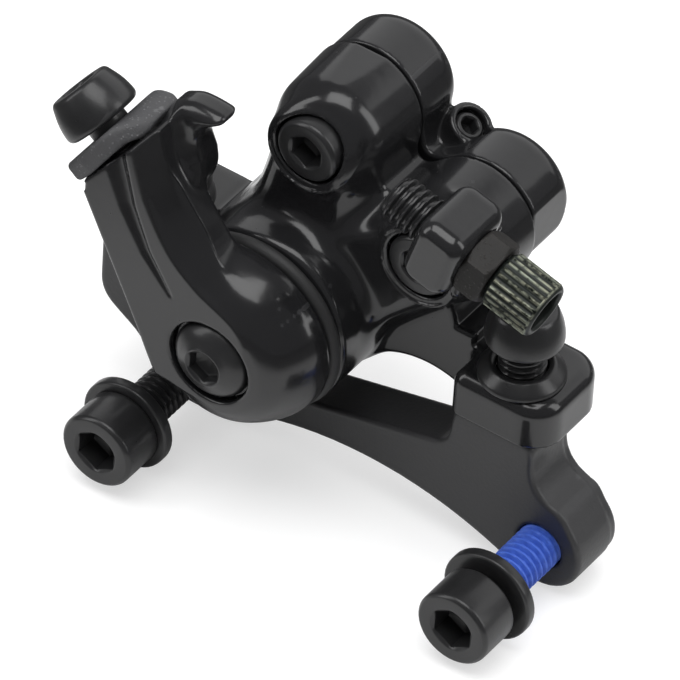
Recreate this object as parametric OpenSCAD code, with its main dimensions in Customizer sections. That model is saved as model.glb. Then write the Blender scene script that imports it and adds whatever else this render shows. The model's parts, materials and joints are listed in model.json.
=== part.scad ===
// Cable-pulled bicycle disc brake caliper on its frame bracket.
// Origin: midway between the two frame bolt holes, on the face that meets the frame.
// X runs along the line of those holes, Y along the wheel axle towards the wheel, Z away from the hub.

/* [Bracket] */
// Distance between the two frame bolt holes
frame_pitch = 51; // [48:0.5:56]
// Thickness of the bracket along the axle
bracket_t = 8.2; // [7.8:0.1:9]
// Thickness of the bar between the posts
bar_t = 7.2; // [6.8:0.1:7.6]
// Radius of the two feet round the frame bolts
foot_r = 5.9; // [5.5:0.1:6.4]
// Height of the posts that carry the caliper ears
post_top = 14.6; // [13:0.1:18]
// Distance between the two caliper bolts
post_pitch = 51; // [50:0.1:52]
// Place of the right caliper bolt along X
post_right_x = 18.5; // [18:0.1:19]
// Place of the caliper bolts along Y
post_y = 4.5; // [4.3:0.05:4.6]
// Depth of the tapped holes in the posts
post_hole_depth = 12.5; // [10:0.5:13.5]
// Radius of the arch under the bracket
bracket_arch_r = 49; // [46:0.5:52]

/* [Bolts] */
// Thread diameter of the frame and caliper bolts
main_thread_d = 6; // [5:0.1:6.2]
// Thread pitch of the frame and caliper bolts
main_pitch = 1; // [0.8:0.05:1.25]
// Hexagon key of the frame bolts
frame_key = 5; // [4:0.5:6]
// Radius of a frame bolt head
frame_head_r = 5; // [4.5:0.1:5.6]
// Height of a frame bolt head
frame_head_h = 6; // [4:0.25:8]
// Length of a frame bolt under its head
frame_bolt_len = 20; // [18:0.5:22]
// How far the left frame bolt is screwed out of its seat
left_bolt_out = 13.4; // [11:0.1:14]
// How far the right frame bolt is screwed out of its seat
right_bolt_out = 12.2; // [11:0.1:14]
// How far the right washer has slid off its bolt head
washer_play = 1.2; // [0:0.1:2]
// Outer radius of a frame bolt washer
frame_washer_r = 6.1; // [5.6:0.1:6.4]
// Thickness of a frame bolt washer
frame_washer_t = 1.5; // [1:0.1:2]
// Radius of a tapered bolt head at its base
taper_head_base_r = 4.9; // [4.7:0.05:5.2]
// Radius of a tapered bolt head at its top
taper_head_top_r = 3.9; // [3.5:0.05:4.2]
// Height of a tapered bolt head
taper_head_h = 4.9; // [4:0.1:6]
// Length of a caliper bolt under its head
caliper_bolt_len = 18.5; // [17:0.25:20]
// How far the right caliper bolt is slackened off its washer
right_caliper_slack = 3.5; // [0:0.1:4]
// Outer radius of a dished washer
dish_r = 5.4; // [5.2:0.05:5.8]
// Height of a dished washer
dish_h = 2; // [1.6:0.1:2.6]

/* [Caliper body] */
// Actuator axis along X
axis_x = -13; // [-13.4:0.1:-12.8]
// Actuator axis along Z
axis_z = 18.5; // [18:0.1:19.5]
// Outer radius of the actuator barrel
barrel_r = 12.2; // [12:0.05:12.4]
// Front face of the barrel along Y
barrel_front = -4.6; // [-5:0.05:-4.4]
// Plane where the two halves meet
split_y = 13.4; // [13.2:0.05:13.6]
// Middle plane of the brake rotor
rotor_y = 15.2; // [15:0.05:15.4]
// Width of the slot for the rotor
slot_w = 5.2; // [5:0.05:5.3]
// Radius of the rotor that the slot clears
rotor_r = 80; // [78:0.5:81]
// Distance from the rotor centre to the pad centre
pad_orbit = 70; // [69:0.5:71]
// Direction from the rotor centre to the pads, above the X axis
lean = 62; // [60:0.5:64]
// Distance from the actuator axis to each body bolt
lobe_dist = 24; // [23.5:0.1:24.6]
// Half of the angle between the two body bolts
lobe_half = 23; // [22:0.25:24]
// Radius of the lobe round each body bolt
lobe_r = 7.2; // [6.9:0.05:7.3]
// How far the body draws in between the barrel and the lobes
waist = 1.4; // [1:0.1:1.6]
// Front face of the lobes along Y
lobe_front = -1; // [-1.3:0.1:-0.5]
// Height of the valley's centre above the line between the body bolts
valley_lift = 4.5; // [4.2:0.1:5]
// Back face of the inner half along Y
inner_back = 22.8; // [22.7:0.1:23.6]
// Back face of the ears along Y
ear_back = 12.4; // [12:0.05:12.4]
// Thickness of the ears
ear_t = 6.2; // [5.5:0.1:7]
// Width of an ear along X
ear_w = 13.6; // [13:0.1:14]
// Front face of the flange that joins the ears
flange_front = 5; // [4.8:0.1:5.4]
// Sideways travel of the caliper each way when its bolts are slack
align_travel = 0.8; // [0.4:0.05:1]

/* [Body bolts] */
// Thread diameter of the body bolts
body_thread_d = 5; // [4.5:0.1:5.2]
// Thread pitch of the body bolts
body_pitch = 0.8; // [0.7:0.05:1]
// Hexagon key of the body bolts and the tapered bolts
body_key = 4; // [3:0.5:5]
// Radius of a body bolt head
body_head_r = 4.25; // [4:0.05:4.4]
// Height of a body bolt head
body_head_h = 5; // [4:0.1:5.5]
// Length of a body bolt under its head
body_bolt_len = 16; // [14:0.5:17]
// Radius of the counterbore round a body bolt head
counterbore_r = 4.8; // [4.7:0.05:5.4]
// Seat of the body bolt heads along Y
body_bolt_seat = 5; // [4:0.1:6]

/* [Brake pads] */
// Radius of the round pads
pad_r = 10.2; // [9.8:0.05:10.4]
// Thickness of a pad's back plate
pad_plate_t = 1.6; // [1.4:0.05:1.8]
// Thickness of a pad's lining
lining_t = 2; // [1.8:0.05:2.1]
// Width of the tab that a pad is pulled out by
pad_tab_w = 6; // [5:0.1:7]
// Length of the pull tab beyond the pad
pad_tab_len = 4; // [3:0.1:6]
// How far each lining stands out of its half at rest
lining_proud = 0.4; // [0.2:0.05:0.6]
// Travel of the pad adjuster
adjust_travel = 1.6; // [1:0.05:1.8]

/* [Actuator] */
// Radius of the cam shaft
shaft_r = 4.6; // [4.5:0.05:4.8]
// Side of the square end that drives the arm
drive_side = 6.4; // [6.2:0.05:6.5]
// Outer radius of the shaft bush
bush_r = 6; // [5.6:0.05:6.4]
// Radius of the cam disc and pressure foot
foot_disc_r = 8.45; // [8.2:0.05:8.6]
// Radius of a ramp ball
ball_r = 2.4; // [2.2:0.05:2.5]
// Radius of the circle that the balls lie on
ball_orbit = 5.6; // [5.5:0.05:5.8]
// Swing of the arm, in degrees
arm_swing = 30; // [24:1:34]
// Travel of the pressure foot over the whole swing
foot_travel = 2; // [1.6:0.05:2.1]

/* [Arm] */
// Front face of the arm hub along Y
hub_front = -15; // [-15.4:0.1:-14.6]
// Radius of the arm hub
hub_r = 11.8; // [11.4:0.05:12]
// Radius of the recess round the arm bolt head
arm_recess_r = 5.65; // [5.5:0.05:5.8]
// Clamp bolt from the low end of its seat
clamp_along = 4.4; // [4:0.1:5]
// Place of the clamp bolt along Y
clamp_y = -10.5; // [-10.8:0.1:-10]
// Thickness of the cable clamp plate
clamp_plate_t = 2.6; // [2.2:0.1:2.8]
// Wire radius of the return spring
spring_wire_r = 0.45; // [0.35:0.05:0.5]
// Turns of the return spring
spring_turns = 2.5; // [1.5:0.25:2.75]

/* [Cable adjuster] */
// Cable stop from the lower body bolt along X
stop_out = 6.65; // [6.4:0.05:7]
// Middle of the cable stop along Y
stop_y = -3; // [-3.2:0.1:-2.8]
// Cable stop from the lower body bolt along Z
stop_up = 10.2; // [10:0.1:10.6]
// Slope of the cable adjuster, in degrees
cable_slope = 16; // [14:0.5:18]
// Length of the cable stop along the cable
stop_len = 6.2; // [5:0.1:7]
// Width of the cable stop along Y
stop_w = 10.4; // [9:0.1:11]
// Height of the cable stop
stop_h = 9; // [8:0.1:9.6]
// Thread diameter of the adjuster stem
stem_d = 6; // [5.5:0.1:6.2]
// Length of the adjuster stem behind the knurled head
stem_len = 16.4; // [14:0.1:17]
// Radius of the knurled head
knurl_r = 3.7; // [3.6:0.05:4.2]
// Length of the knurled head
knurl_len = 7; // [6:0.1:9]
// Number of knurl ridges
knurl_count = 24; // [20:2:40]
// Width across the flats of the lock nut
nut_af = 7.8; // [7.4:0.1:8.2]
// Length of the lock nut
nut_len = 3.6; // [3:0.1:4]
// Radius of the socket for the cable housing
housing_r = 2.6; // [2.4:0.05:2.8]
// Depth of the socket for the cable housing
housing_depth = 5; // [4:0.1:5.5]
// Radius of the bore for the inner cable
cable_r = 1.1; // [0.9:0.05:1.3]

/* [Clearances] */
// Gap between a thread and its tapped hole
thread_gap = 0.05; // [0.03:0.01:0.08]
// Gap of a running fit
run_gap = 0.05; // [0.03:0.01:0.08]
// Gap round a bolt in a plain hole
bolt_gap = 0.2; // [0.15:0.01:0.3]
// Gap between faces that move past each other
face_gap = 0.3; // [0.25:0.05:0.4]
// Gap round a pad in its pocket
pad_gap = 0.3; // [0.2:0.05:0.4]

/* [Hidden] */
$fn = 48;

// Finishes
gloss_black = [0.05, 0.05, 0.055];
satin_black = [0.1, 0.1, 0.105];
bare_steel = [0.55, 0.55, 0.57];
lining_brown = [0.36, 0.27, 0.2];
bronze = [0.6, 0.45, 0.25];
rubber_black = [0.03, 0.03, 0.03];

// A cut runs this far past the face that it opens
over = 1;

// Places of the bolts
frame_x = frame_pitch / 2;
post_left_x = post_right_x - post_pitch;
axis = [axis_x, axis_z];
pad_to_hub = lean + 180;
lobe_up = axis + lobe_dist * heading(lean + lobe_half);
lobe_low = axis + lobe_dist * heading(lean - lobe_half);
rotor_centre = axis - pad_orbit * heading(lean);
rotor_gap = 1.5;
slot_clear_r = rotor_r + rotor_gap;
slot_front = rotor_y - slot_w / 2;
slot_back = rotor_y + slot_w / 2;
ear_top = post_top + ear_t;
ear_front = -0.6;
ear_link = 3;
flange_right = post_right_x - 7.2;
flange_left = post_left_x + ear_w / 2 + 0.2;
flange_low = post_top - 6.6;
flange_high = axis_z + 10.3;
boss_back = inner_back + adjust_travel + bolt_gap;
boss_wall = 2.2;
screw_lean = lean - 2.8;
// Steps of the rounded edges: [inset, distance from the face]
front_steps = [[1.1, 4], [0.6, 6.5], [0.25, 10]];
back_steps = [[0, 2.2], [0.9, 0.8], [2.2, 0]];

// The stack along Y, from the arm to the moving pad
seal_t = 1.6;
arm_back = barrel_front - seal_t - face_gap;
wall_t = 2.4;
wall_back = barrel_front + wall_t;
thrust_t = 0.75;
cam_front = wall_back + thrust_t + run_gap;
cam_t = 3.2;
cam_back = cam_front + cam_t;
foot_front = cam_back + face_gap;
ball_y = cam_back + 0.4;
lining_front = slot_front + lining_proud;
moving_plate_y = lining_front - lining_t - pad_plate_t;
pocket_floor = moving_plate_y - pad_gap;
foot_bore_r = foot_disc_r + run_gap;
pocket_r = pad_r + pad_gap;
key_w = 2;
key_out = 0.9;
magnet_r = 4;
magnet_t = 1.5;
foot_seal_y = moving_plate_y - 1.2;
seal_section = 0.4;
groove_d = 2 * seal_section;
groove_w = 3 * seal_section;

// The stack along Y on the wheel side
fixed_lining_y = slot_back - lining_proud;
fixed_plate_y = fixed_lining_y + lining_t;
plug_front = fixed_plate_y + pad_plate_t;
inner_floor = plug_front + pad_gap;
plug_r = 7.8;
plug_back = boss_back;
plug_seal_y = plug_front + 2.6;
screw_y = fixed_plate_y;
screw_r = 2;
screw_tip_r = 1.2;
boss_r = 3.2;
boss_top = lobe_dist + 1;
notch_depth = 2;

// The arm, seen from the front, with the clamp seat at its end
seat_low = axis + [-18.9, 18.7];
seat_high = axis + [-12.3, 27.1];
seat_dir = (seat_high - seat_low) / norm(seat_high - seat_low);
seat_turn = atan2(seat_dir.y, seat_dir.x);
seat_mid = seat_low + clamp_along * seat_dir;
arm_rear = barrel_front + 1;
clamp_thread_d = 5;
bolt_end_gap = 0.8;
clamp_hole_depth = 6;
clamp_collar_h = 1.4;
clamp_collar_r = 3.4;
clamp_bend = 1;
clamp_thread_len = clamp_collar_h + clamp_plate_t + clamp_hole_depth - bolt_end_gap;
shelf_deep = 4;
rim_deep = 7.5;
web_back = hub_front + 3.5;
recess_floor = hub_front + 1.6;
spring_boss_r = 5.6;
spring_cave_r = 8.8;
spring_r = (spring_boss_r + spring_cave_r) / 2;
spring_leg = axis + spring_r * [cos(spring_turns * 360), -sin(spring_turns * 360)];
spring_leg_back = barrel_front + 1.6;
arm_bolt_d = 5;
arm_bolt_len = 10;
arm_head_r = 5.2;
arm_head_h = 2.5;
arm_key = 4;
arm_washer_t = 0.5;

// The cable stop and what it carries, in a frame whose X runs out along the cable
stop_place = [lobe_low.x + stop_out, stop_y, lobe_low.y + stop_up];
nut_start = stop_len / 2 + 0.15;
knurl_start = nut_start + nut_len + 0.15;

// A unit step in a direction
function heading(turn) = [cos(turn), sin(turn)];
// A corner of an outline, rounded to its radius
function corner(a, b, c, r, steps) =
    let(
        u = (a - b) / norm(a - b),
        v = (c - b) / norm(c - b),
        half = acos(u * v) / 2,
        centre = b + (u + v) / norm(u + v) * r / sin(half),
        first = b + u * r / tan(half) - centre,
        last = b + v * r / tan(half) - centre,
        start = atan2(first.y, first.x),
        sweep = (atan2(last.y, last.x) - start + 540) % 360 - 180
    )
    r == 0 ? [b] : [for (i = [0:steps]) centre + r * heading(start + sweep * i / steps)];
function flat_point(p) = [p[0], p[1]];
function direction(from, to) = atan2(to.y - from.y, to.x - from.x);
// Points along an arc, about one for every 8 degrees
function arc(centre, r, from, to) =
    let(steps = ceil(abs(to - from) / 8))
    [for (i = [0:steps]) centre + r * heading(from + (to - from) * i / steps)];
// An outline whose points are [across, up, corner radius]
function rounded(points, steps = 5) =
    let(count = len(points))
    [for (i = [0:count - 1])
        each corner(
            flat_point(points[(i + count - 1) % count]), flat_point(points[i]),
            flat_point(points[(i + 1) % count]), points[i][2], steps)];
// The same outline, moved so that its points count from the actuator axis
function from_axis(points) = [for (p = points) [p[0] + axis_x, p[1] + axis_z, p[2]]];
// Points of a straight side that draws in at its middle
function drawn_in(a, b) =
    let(inward = [a.y - b.y, b.x - a.x] / norm(b - a))
    [for (t = [0.2:0.2:0.8]) a + (b - a) * t + inward * waist * 4 * t * (1 - t)];
// A point of the return spring, by its share of the whole coil
function spring_point(share, wire_turn) =
    let(
        turn = share * spring_turns * 360,
        reach = spring_r + spring_wire_r * cos(wire_turn),
        climb = share * (arm_back - web_back - 2 * spring_wire_r - 2 * face_gap)
    )
    [reach * cos(turn), reach * sin(turn), climb + spring_wire_r * sin(wire_turn)];

// A slab of an outline drawn in X and Z, between two places along Y
module slab(from, to) {
    translate([0, to, 0])
        rotate([90, 0, 0])
            linear_extrude(to - from)
                children();
}
// A round bar along Y
module rod(place, from, to, r) {
    translate([place.x, from, place.y])
        rotate([-90, 0, 0])
            cylinder(h = to - from, r = r);
}
// A shape turned about a line along Y: points are [radius, Y]
module turned(place, points) {
    translate([place.x, 0, place.y])
        rotate([-90, 0, 0])
            rotate_extrude()
                polygon(points);
}
// A ring about the actuator axis
module ring(inner_r, outer_r, from, to) {
    turned(axis, [[inner_r, from], [outer_r, from], [outer_r, to], [inner_r, to]]);
}
// A groove for an O-ring, cut into a round bar about the actuator axis
module groove(r, y) {
    ring(r - groove_d, r + over, y - groove_w / 2, y + groove_w / 2);
}
// An O-ring that fills such a groove
module oring(r, y) {
    translate([axis_x, y, axis_z])
        rotate([-90, 0, 0])
            rotate_extrude()
                translate([r - seal_section, 0])
                    circle(seal_section, $fn = 24);
}
// Two circles joined by their tangents
module capsule(a, ra, b, rb) {
    way = atan2(b.y - a.y, b.x - a.x);
    tilt = acos((ra - rb) / norm(b - a));
    polygon(concat(arc(a, ra, way + tilt, way + 360 - tilt), arc(b, rb, way - tilt, way + tilt)));
}
// A screw thread along Z, as rings one pitch apart
module thread(d, pitch, length) {
    crest = d / 2 - thread_gap;
    root = crest - 0.55 * pitch;
    turns = floor(length / pitch);
    rotate_extrude()
        polygon(concat(
            [[0, 0]],
            [for (i = [0:turns - 1])
                each [[root, i * pitch], [crest, (i + 0.4) * pitch], [crest, (i + 0.6) * pitch]]],
            [[root, turns * pitch], [root, length], [0, length]]));
}
// A hexagon socket, cut down from z = 0
module hex_socket(across_flats, depth) {
    translate([0, 0, -depth])
        cylinder(h = depth + over, r = across_flats / 2 / cos(30), $fn = 6);
}
// A cap screw along Z: thread upwards from z = 0, head below it
module cap_screw(head_r, head_h, across_flats, d, pitch, length) {
    thread(d, pitch, length);
    difference() {
        translate([0, 0, -head_h])
            cylinder(h = head_h, r = head_r);
        translate([0, 0, -head_h])
            mirror([0, 0, 1])
                hex_socket(across_flats, head_h / 2);
    }
}
// A bolt along Z with a tapered head above z = 0 and its thread below
module taper_bolt(d, pitch, length) {
    translate([0, 0, -length])
        thread(d, pitch, length);
    difference() {
        cylinder(h = taper_head_h, r1 = taper_head_base_r, r2 = taper_head_top_r);
        translate([0, 0, taper_head_h])
            hex_socket(body_key, taper_head_h * 0.6);
    }
}

// Bracket: feet, arched bar and two posts in one outline
module bracket_outline() {
    post_right = post_right_x + 5.1;
    post_left = post_left_x - ear_w / 2 + 0.1;
    arch_top = -0.05;
    shoulder = foot_r + 0.6;
    difference() {
        polygon(rounded([
            [post_left, post_top, 0.8], [post_left, 4.6, 4], [-frame_x - 7.8, 0.8, 3],
            [-frame_x - 4.6, -3.7, 0], [-frame_x, -foot_r, 0], [frame_x, -foot_r, 0],
            [frame_x + 4.4, 3.8, 0], [frame_x + 2.8, shoulder, 2], [post_right, shoulder, 4.5],
            [post_right, post_top, 0.8], [post_right_x - 6.3, post_top, 0.8], [post_right_x - 6.9, 8.6, 2.5],
            [-17, 1.8, 4], [-frame_x - 0.5, 9.5, 3], [post_left_x + 6.1, post_top, 0.8]
        ]));
        translate([0.3, arch_top - bracket_arch_r])
            circle(bracket_arch_r, $fn = 120);
    }
    for (side = [-1, 1])
        translate([side * frame_x, 0])
            circle(foot_r);
}
module mount_bracket() {
    bar_left = axis_x - 1;
    bar_right = post_right_x - 6.9;
    color(satin_black)
        difference() {
            slab(0, bracket_t)
                bracket_outline();
            slab(bar_t, bracket_t + over)
                polygon([
                    [bar_left, -foot_r], [bar_right, -foot_r],
                    [bar_right, post_top], [bar_left, post_top]]);
            for (side = [-1, 1])
                rod([side * frame_x, 0], -over, bracket_t + over, main_thread_d / 2);
            for (x = [post_left_x, post_right_x])
                translate([x, post_y, post_top - post_hole_depth])
                    cylinder(h = post_hole_depth + over, r = main_thread_d / 2);
        }
}
module frame_bolt(side, out) {
    color(satin_black)
        translate([side * frame_x, -out, 0])
            rotate([-90, 0, 0])
                cap_screw(frame_head_r, frame_head_h, frame_key, main_thread_d, main_pitch, frame_bolt_len);
}
module mount_bolt_left() {
    frame_bolt(-1, left_bolt_out);
}
module mount_bolt_right() {
    frame_bolt(1, right_bolt_out);
}
module mount_washers() {
    color(satin_black)
        for (spot = [[-frame_x, -left_bolt_out], [frame_x, washer_play - right_bolt_out]])
            difference() {
                rod([spot.x, 0], spot.y, spot.y + frame_washer_t, frame_washer_r);
                rod([spot.x, 0], spot.y - over, spot.y + frame_washer_t + over, main_thread_d / 2 + bolt_gap);
            }
}
module caliper_bolt(x, slack) {
    color(satin_black)
        translate([x, post_y, ear_top + dish_h + slack])
            taper_bolt(main_thread_d, main_pitch, caliper_bolt_len);
}
module caliper_bolt_left() {
    caliper_bolt(post_left_x, 0);
}
module caliper_bolt_right() {
    caliper_bolt(post_right_x, right_caliper_slack);
}
module dished_washers() {
    hole_r = main_thread_d / 2 + bolt_gap;
    rim_r = taper_head_base_r - 0.3;
    color(satin_black)
        for (x = [post_left_x, post_right_x])
            translate([x, post_y, ear_top])
                rotate_extrude()
                    polygon([
                        [hole_r, 0], [dish_r, 0], [dish_r, dish_h],
                        [rim_r, dish_h], [hole_r, dish_h / 2]]);
}

// Outline that both halves share, drawn in all round: barrel, two lobes and the valley between them
module body_outline(inset) {
    core_r = barrel_r - 0.15 - inset;
    end_r = lobe_r - inset;
    tilt = acos((core_r - end_r) / lobe_dist);
    valley = axis + (lobe_dist * cos(lobe_half) + valley_lift) * heading(lean);
    valley_r = norm(valley - lobe_up) - lobe_r;
    from_low = direction(lobe_low, valley);
    from_up = direction(lobe_up, valley);
    side_up = lean + lobe_half + tilt;
    side_low = lean - lobe_half - tilt;
    polygon(concat(
        arc(axis, core_r, side_up, side_low + 360),
        drawn_in(axis + core_r * heading(side_low), lobe_low + end_r * heading(side_low)),
        arc(lobe_low, end_r, side_low, from_low),
        arc(valley, valley_r + inset, from_low + 180, from_up + 180),
        arc(lobe_up, end_r, from_up, side_up),
        drawn_in(lobe_up + end_r * heading(side_up), axis + core_r * heading(side_up))));
}
// The outer half's lobes swell from their front face towards the joint
module lobe_dome(place) {
    turned(place, [
        [0, lobe_front], [lobe_r - 2.4, lobe_front], [lobe_r - 1.6, lobe_front + 1],
        [lobe_r - 0.9, lobe_front + 2.8], [lobe_r - 0.45, lobe_front + 5.4],
        [lobe_r - 0.15, lobe_front + 9], [lobe_r - 0.15, split_y], [0, split_y]]);
}
// The space that the rotor turns in
module rotor_space(from, to) {
    translate([rotor_centre.x, from, rotor_centre.y])
        rotate([-90, 0, 0])
            cylinder(h = to - from, r = slot_clear_r, $fn = 120);
}
// A pad's outline grown all round: round, with a pull tab towards the hub
module pad_outline(grow) {
    translate(axis) {
        circle(pad_r + grow);
        rotate(pad_to_hub)
            translate([0, -pad_tab_w / 2 - grow])
                square([pad_r + pad_tab_len + grow, pad_tab_w + 2 * grow]);
    }
}
// Flange behind the posts, arched above the bracket's bar
module flange_outline() {
    difference() {
        polygon(rounded([
            [flange_left, ear_top, 0], [flange_left, post_top, 0],
            [axis_x - 7, post_top - 2.6, 0], [axis_x + 6, flange_low, 0], [flange_right, flange_low, 0],
            [flange_right, ear_top, 0], [flange_right - 1.5, ear_top + 3.2, 1.5],
            [axis_x + 17, flange_high, 0], [axis_x, flange_high, 0]
        ]));
        translate([post_right_x - 13.5, post_top - 12.7])
            circle(12);
    }
}
// An ear that rests on a post, slotted so that the caliper can be lined up
module ear(x, inward) {
    reach = ear_w / 2;
    difference() {
        union() {
            translate([x, 0, post_top])
                linear_extrude(ear_t)
                    polygon(rounded([
                        [-reach, ear_front, 3], [reach, ear_front, 3],
                        [reach, ear_back, 3.5], [-reach, ear_back, 3.5]]));
            translate([x + inward * reach - ear_link, flange_front, post_top])
                cube([2 * ear_link, ear_back - flange_front, ear_t]);
        }
        translate([x, post_y, post_top - over])
            linear_extrude(ear_t + 2 * over) {
                for (way = [-1, 1])
                    translate([0, way * align_travel])
                        circle(main_thread_d / 2 + bolt_gap);
                square([main_thread_d + 2 * bolt_gap, 2 * align_travel], center = true);
            }
    }
}
// Puts a shape into the cable's own frame
module at_cable() {
    translate(stop_place)
        rotate([0, cable_slope, 0])
            children();
}
// A round bar along the cable
module cable_rod(from, to, r) {
    translate([from, 0, 0])
        rotate([0, 90, 0])
            cylinder(h = to - from, r = r);
}
module cable_stop() {
    half_w = stop_w / 2;
    half_h = stop_h / 2;
    at_cable()
        translate([-stop_len / 2, 0, 0])
            rotate([90, 0, 90])
                linear_extrude(stop_len)
                    polygon(rounded([
                        [-half_w, -half_h, 2.5], [half_w, -half_h, 1],
                        [half_w, half_h, 3.5], [-half_w, half_h, 3.5]]));
    slab(lobe_front, flange_front)
        polygon([
            lobe_low + [-4, 3], lobe_low + [6.5, -1],
            [stop_place.x + 1.9, stop_place.z - 2.7], [stop_place.x - 3.2, stop_place.z]]);
}
module outer_body() {
    color(gloss_black)
        difference() {
            union() {
                ring(0, barrel_r, barrel_front, slot_front);
                for (step = front_steps)
                    slab(lobe_front + step[1], split_y)
                        body_outline(step[0]);
                for (lobe = [lobe_up, lobe_low]) {
                    lobe_dome(lobe);
                    slab(lobe_front + 2, split_y)
                        capsule(axis, 7, lobe, 4.6);
                }
                slab(flange_front, ear_back)
                    flange_outline();
                ear(post_left_x, 1);
                ear(post_right_x, -1);
                cable_stop();
            }
            rotor_space(slot_front, split_y + over);
            ring(0, bush_r, barrel_front - over, wall_back + over);
            ring(0, foot_bore_r, wall_back, pocket_floor + over);
            slab(pocket_floor, slot_front + over)
                pad_outline(pad_gap);
            slab(foot_front, pocket_floor + over)
                translate(axis)
                    rotate(lean + 90)
                        translate([0, -key_w / 2 - run_gap])
                            square([foot_disc_r + key_out + 2 * run_gap, key_w + 2 * run_gap]);
            for (lobe = [lobe_up, lobe_low]) {
                rod(lobe, lobe_front - over, body_bolt_seat, counterbore_r);
                rod(lobe, body_bolt_seat - over, split_y + over, body_thread_d / 2 + bolt_gap);
            }
            at_cable()
                cable_rod(-stop_len, stop_len, stem_d / 2);
            rod(spring_leg, barrel_front - over, spring_leg_back + bolt_gap, spring_wire_r + run_gap);
        }
}
module inner_body() {
    color(gloss_black)
        difference() {
            union() {
                rod(axis, split_y + slot_w, boss_back, plug_r + boss_wall);
                for (step = back_steps)
                    slab(split_y, inner_back - step[1])
                        body_outline(step[0]);
                translate([axis_x, screw_y, axis_z])
                    rotate([0, 90 - screw_lean, 0])
                        translate([0, 0, pocket_r + 2])
                            cylinder(h = boss_top - pocket_r - 2, r = boss_r);
            }
            rotor_space(split_y - over, slot_back);
            slab(slot_back - over, inner_floor)
                pad_outline(pad_gap);
            ring(0, plug_r + run_gap, inner_floor - over, boss_back + over);
            for (lobe = [lobe_up, lobe_low])
                rod(lobe, split_y - over, body_bolt_seat + body_bolt_len + bolt_end_gap, body_thread_d / 2);
            translate([axis_x, screw_y, axis_z])
                rotate([0, 90 - screw_lean, 0])
                    translate([0, 0, pad_r - notch_depth])
                        cylinder(h = boss_top, r = screw_r);
        }
}
module body_bolt(lobe) {
    color(satin_black)
        translate([lobe.x, body_bolt_seat, lobe.y])
            rotate([-90, 0, 0])
                cap_screw(body_head_r, body_head_h, body_key, body_thread_d, body_pitch, body_bolt_len);
}
module body_bolt_upper() {
    body_bolt(lobe_up);
}
module body_bolt_lower() {
    body_bolt(lobe_low);
}

// What turns and slides inside the barrel
module dust_seal() {
    color(rubber_black)
        ring(spring_cave_r + 0.4, barrel_r + 0.1, barrel_front - seal_t, barrel_front);
}
module shaft_bush() {
    color(bronze)
        ring(shaft_r + run_gap, bush_r, barrel_front, wall_back);
}
module thrust_washer() {
    color(bronze)
        ring(shaft_r + bolt_gap, foot_disc_r - 0.1, wall_back, wall_back + thrust_t);
}
module place_balls(extra_turn) {
    translate([axis_x, 0, axis_z])
        for (i = [0:2])
            rotate([0, extra_turn + 120 * i, 0])
                translate([ball_orbit, 0, 0])
                    children();
}
module cam_shaft() {
    drive_end = recess_floor + 0.4;
    color(bare_steel)
        difference() {
            union() {
                rod(axis, arm_back, cam_front + over, shaft_r);
                rod(axis, cam_front, cam_back, foot_disc_r);
                slab(drive_end, arm_back + over)
                    translate(axis)
                        square(drive_side, center = true);
            }
            rod(axis, drive_end - over, recess_floor + arm_bolt_len + over, arm_bolt_d / 2);
            place_balls(0)
                translate([0, ball_y, 0])
                    sphere(ball_r + 0.03);
        }
}
module ramp_balls() {
    color(bare_steel)
        place_balls(0)
            translate([0, ball_y, 0])
                sphere(ball_r);
}
// The foot's ramps are the paths that the balls take as the arm swings
module pressure_foot() {
    ramp_steps = 6;
    color(bare_steel)
        difference() {
            union() {
                rod(axis, foot_front, moving_plate_y, foot_disc_r);
                slab(foot_front + 0.8, foot_front + 3)
                    translate(axis)
                        rotate(lean + 90)
                            translate([0, -key_w / 2])
                                square([foot_disc_r + key_out, key_w]);
            }
            for (i = [0:ramp_steps])
                place_balls(arm_swing * i / ramp_steps)
                    translate([0, ball_y - foot_travel * i / ramp_steps, 0])
                        sphere(ball_r + 0.08);
            rod(axis, moving_plate_y - magnet_t, moving_plate_y + over, magnet_r);
            groove(foot_disc_r, foot_seal_y);
        }
}
module foot_seal() {
    color(rubber_black)
        oring(foot_disc_r, foot_seal_y);
}
module foot_magnet() {
    color(bare_steel)
        rod(axis, moving_plate_y - magnet_t, moving_plate_y, magnet_r);
}
module return_spring() {
    rings = ceil(spring_turns * 24);
    sides = 6;
    points = concat(
        [for (i = [0:rings]) for (k = [0:sides - 1]) spring_point(i / rings, 360 * k / sides)],
        [(spring_point(0, 0) + spring_point(0, 180)) / 2, (spring_point(1, 0) + spring_point(1, 180)) / 2]);
    walls = [for (i = [0:rings - 1]) for (k = [0:sides - 1])
        let(a = i * sides + k, b = i * sides + (k + 1) % sides)
        each [[a, b, a + sides], [b, b + sides, a + sides]]];
    ends = [for (k = [0:sides - 1])
        let(n = (k + 1) % sides, last = rings * sides)
        each [[n, k, (rings + 1) * sides], [last + k, last + n, (rings + 1) * sides + 1]]];
    color(bare_steel) {
        translate([axis_x, web_back + spring_wire_r + face_gap, axis_z])
            rotate([-90, 0, 0])
                polyhedron(points, concat(walls, ends));
        rod(spring_leg, arm_back - spring_wire_r - face_gap, spring_leg_back, spring_wire_r);
    }
}

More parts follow.
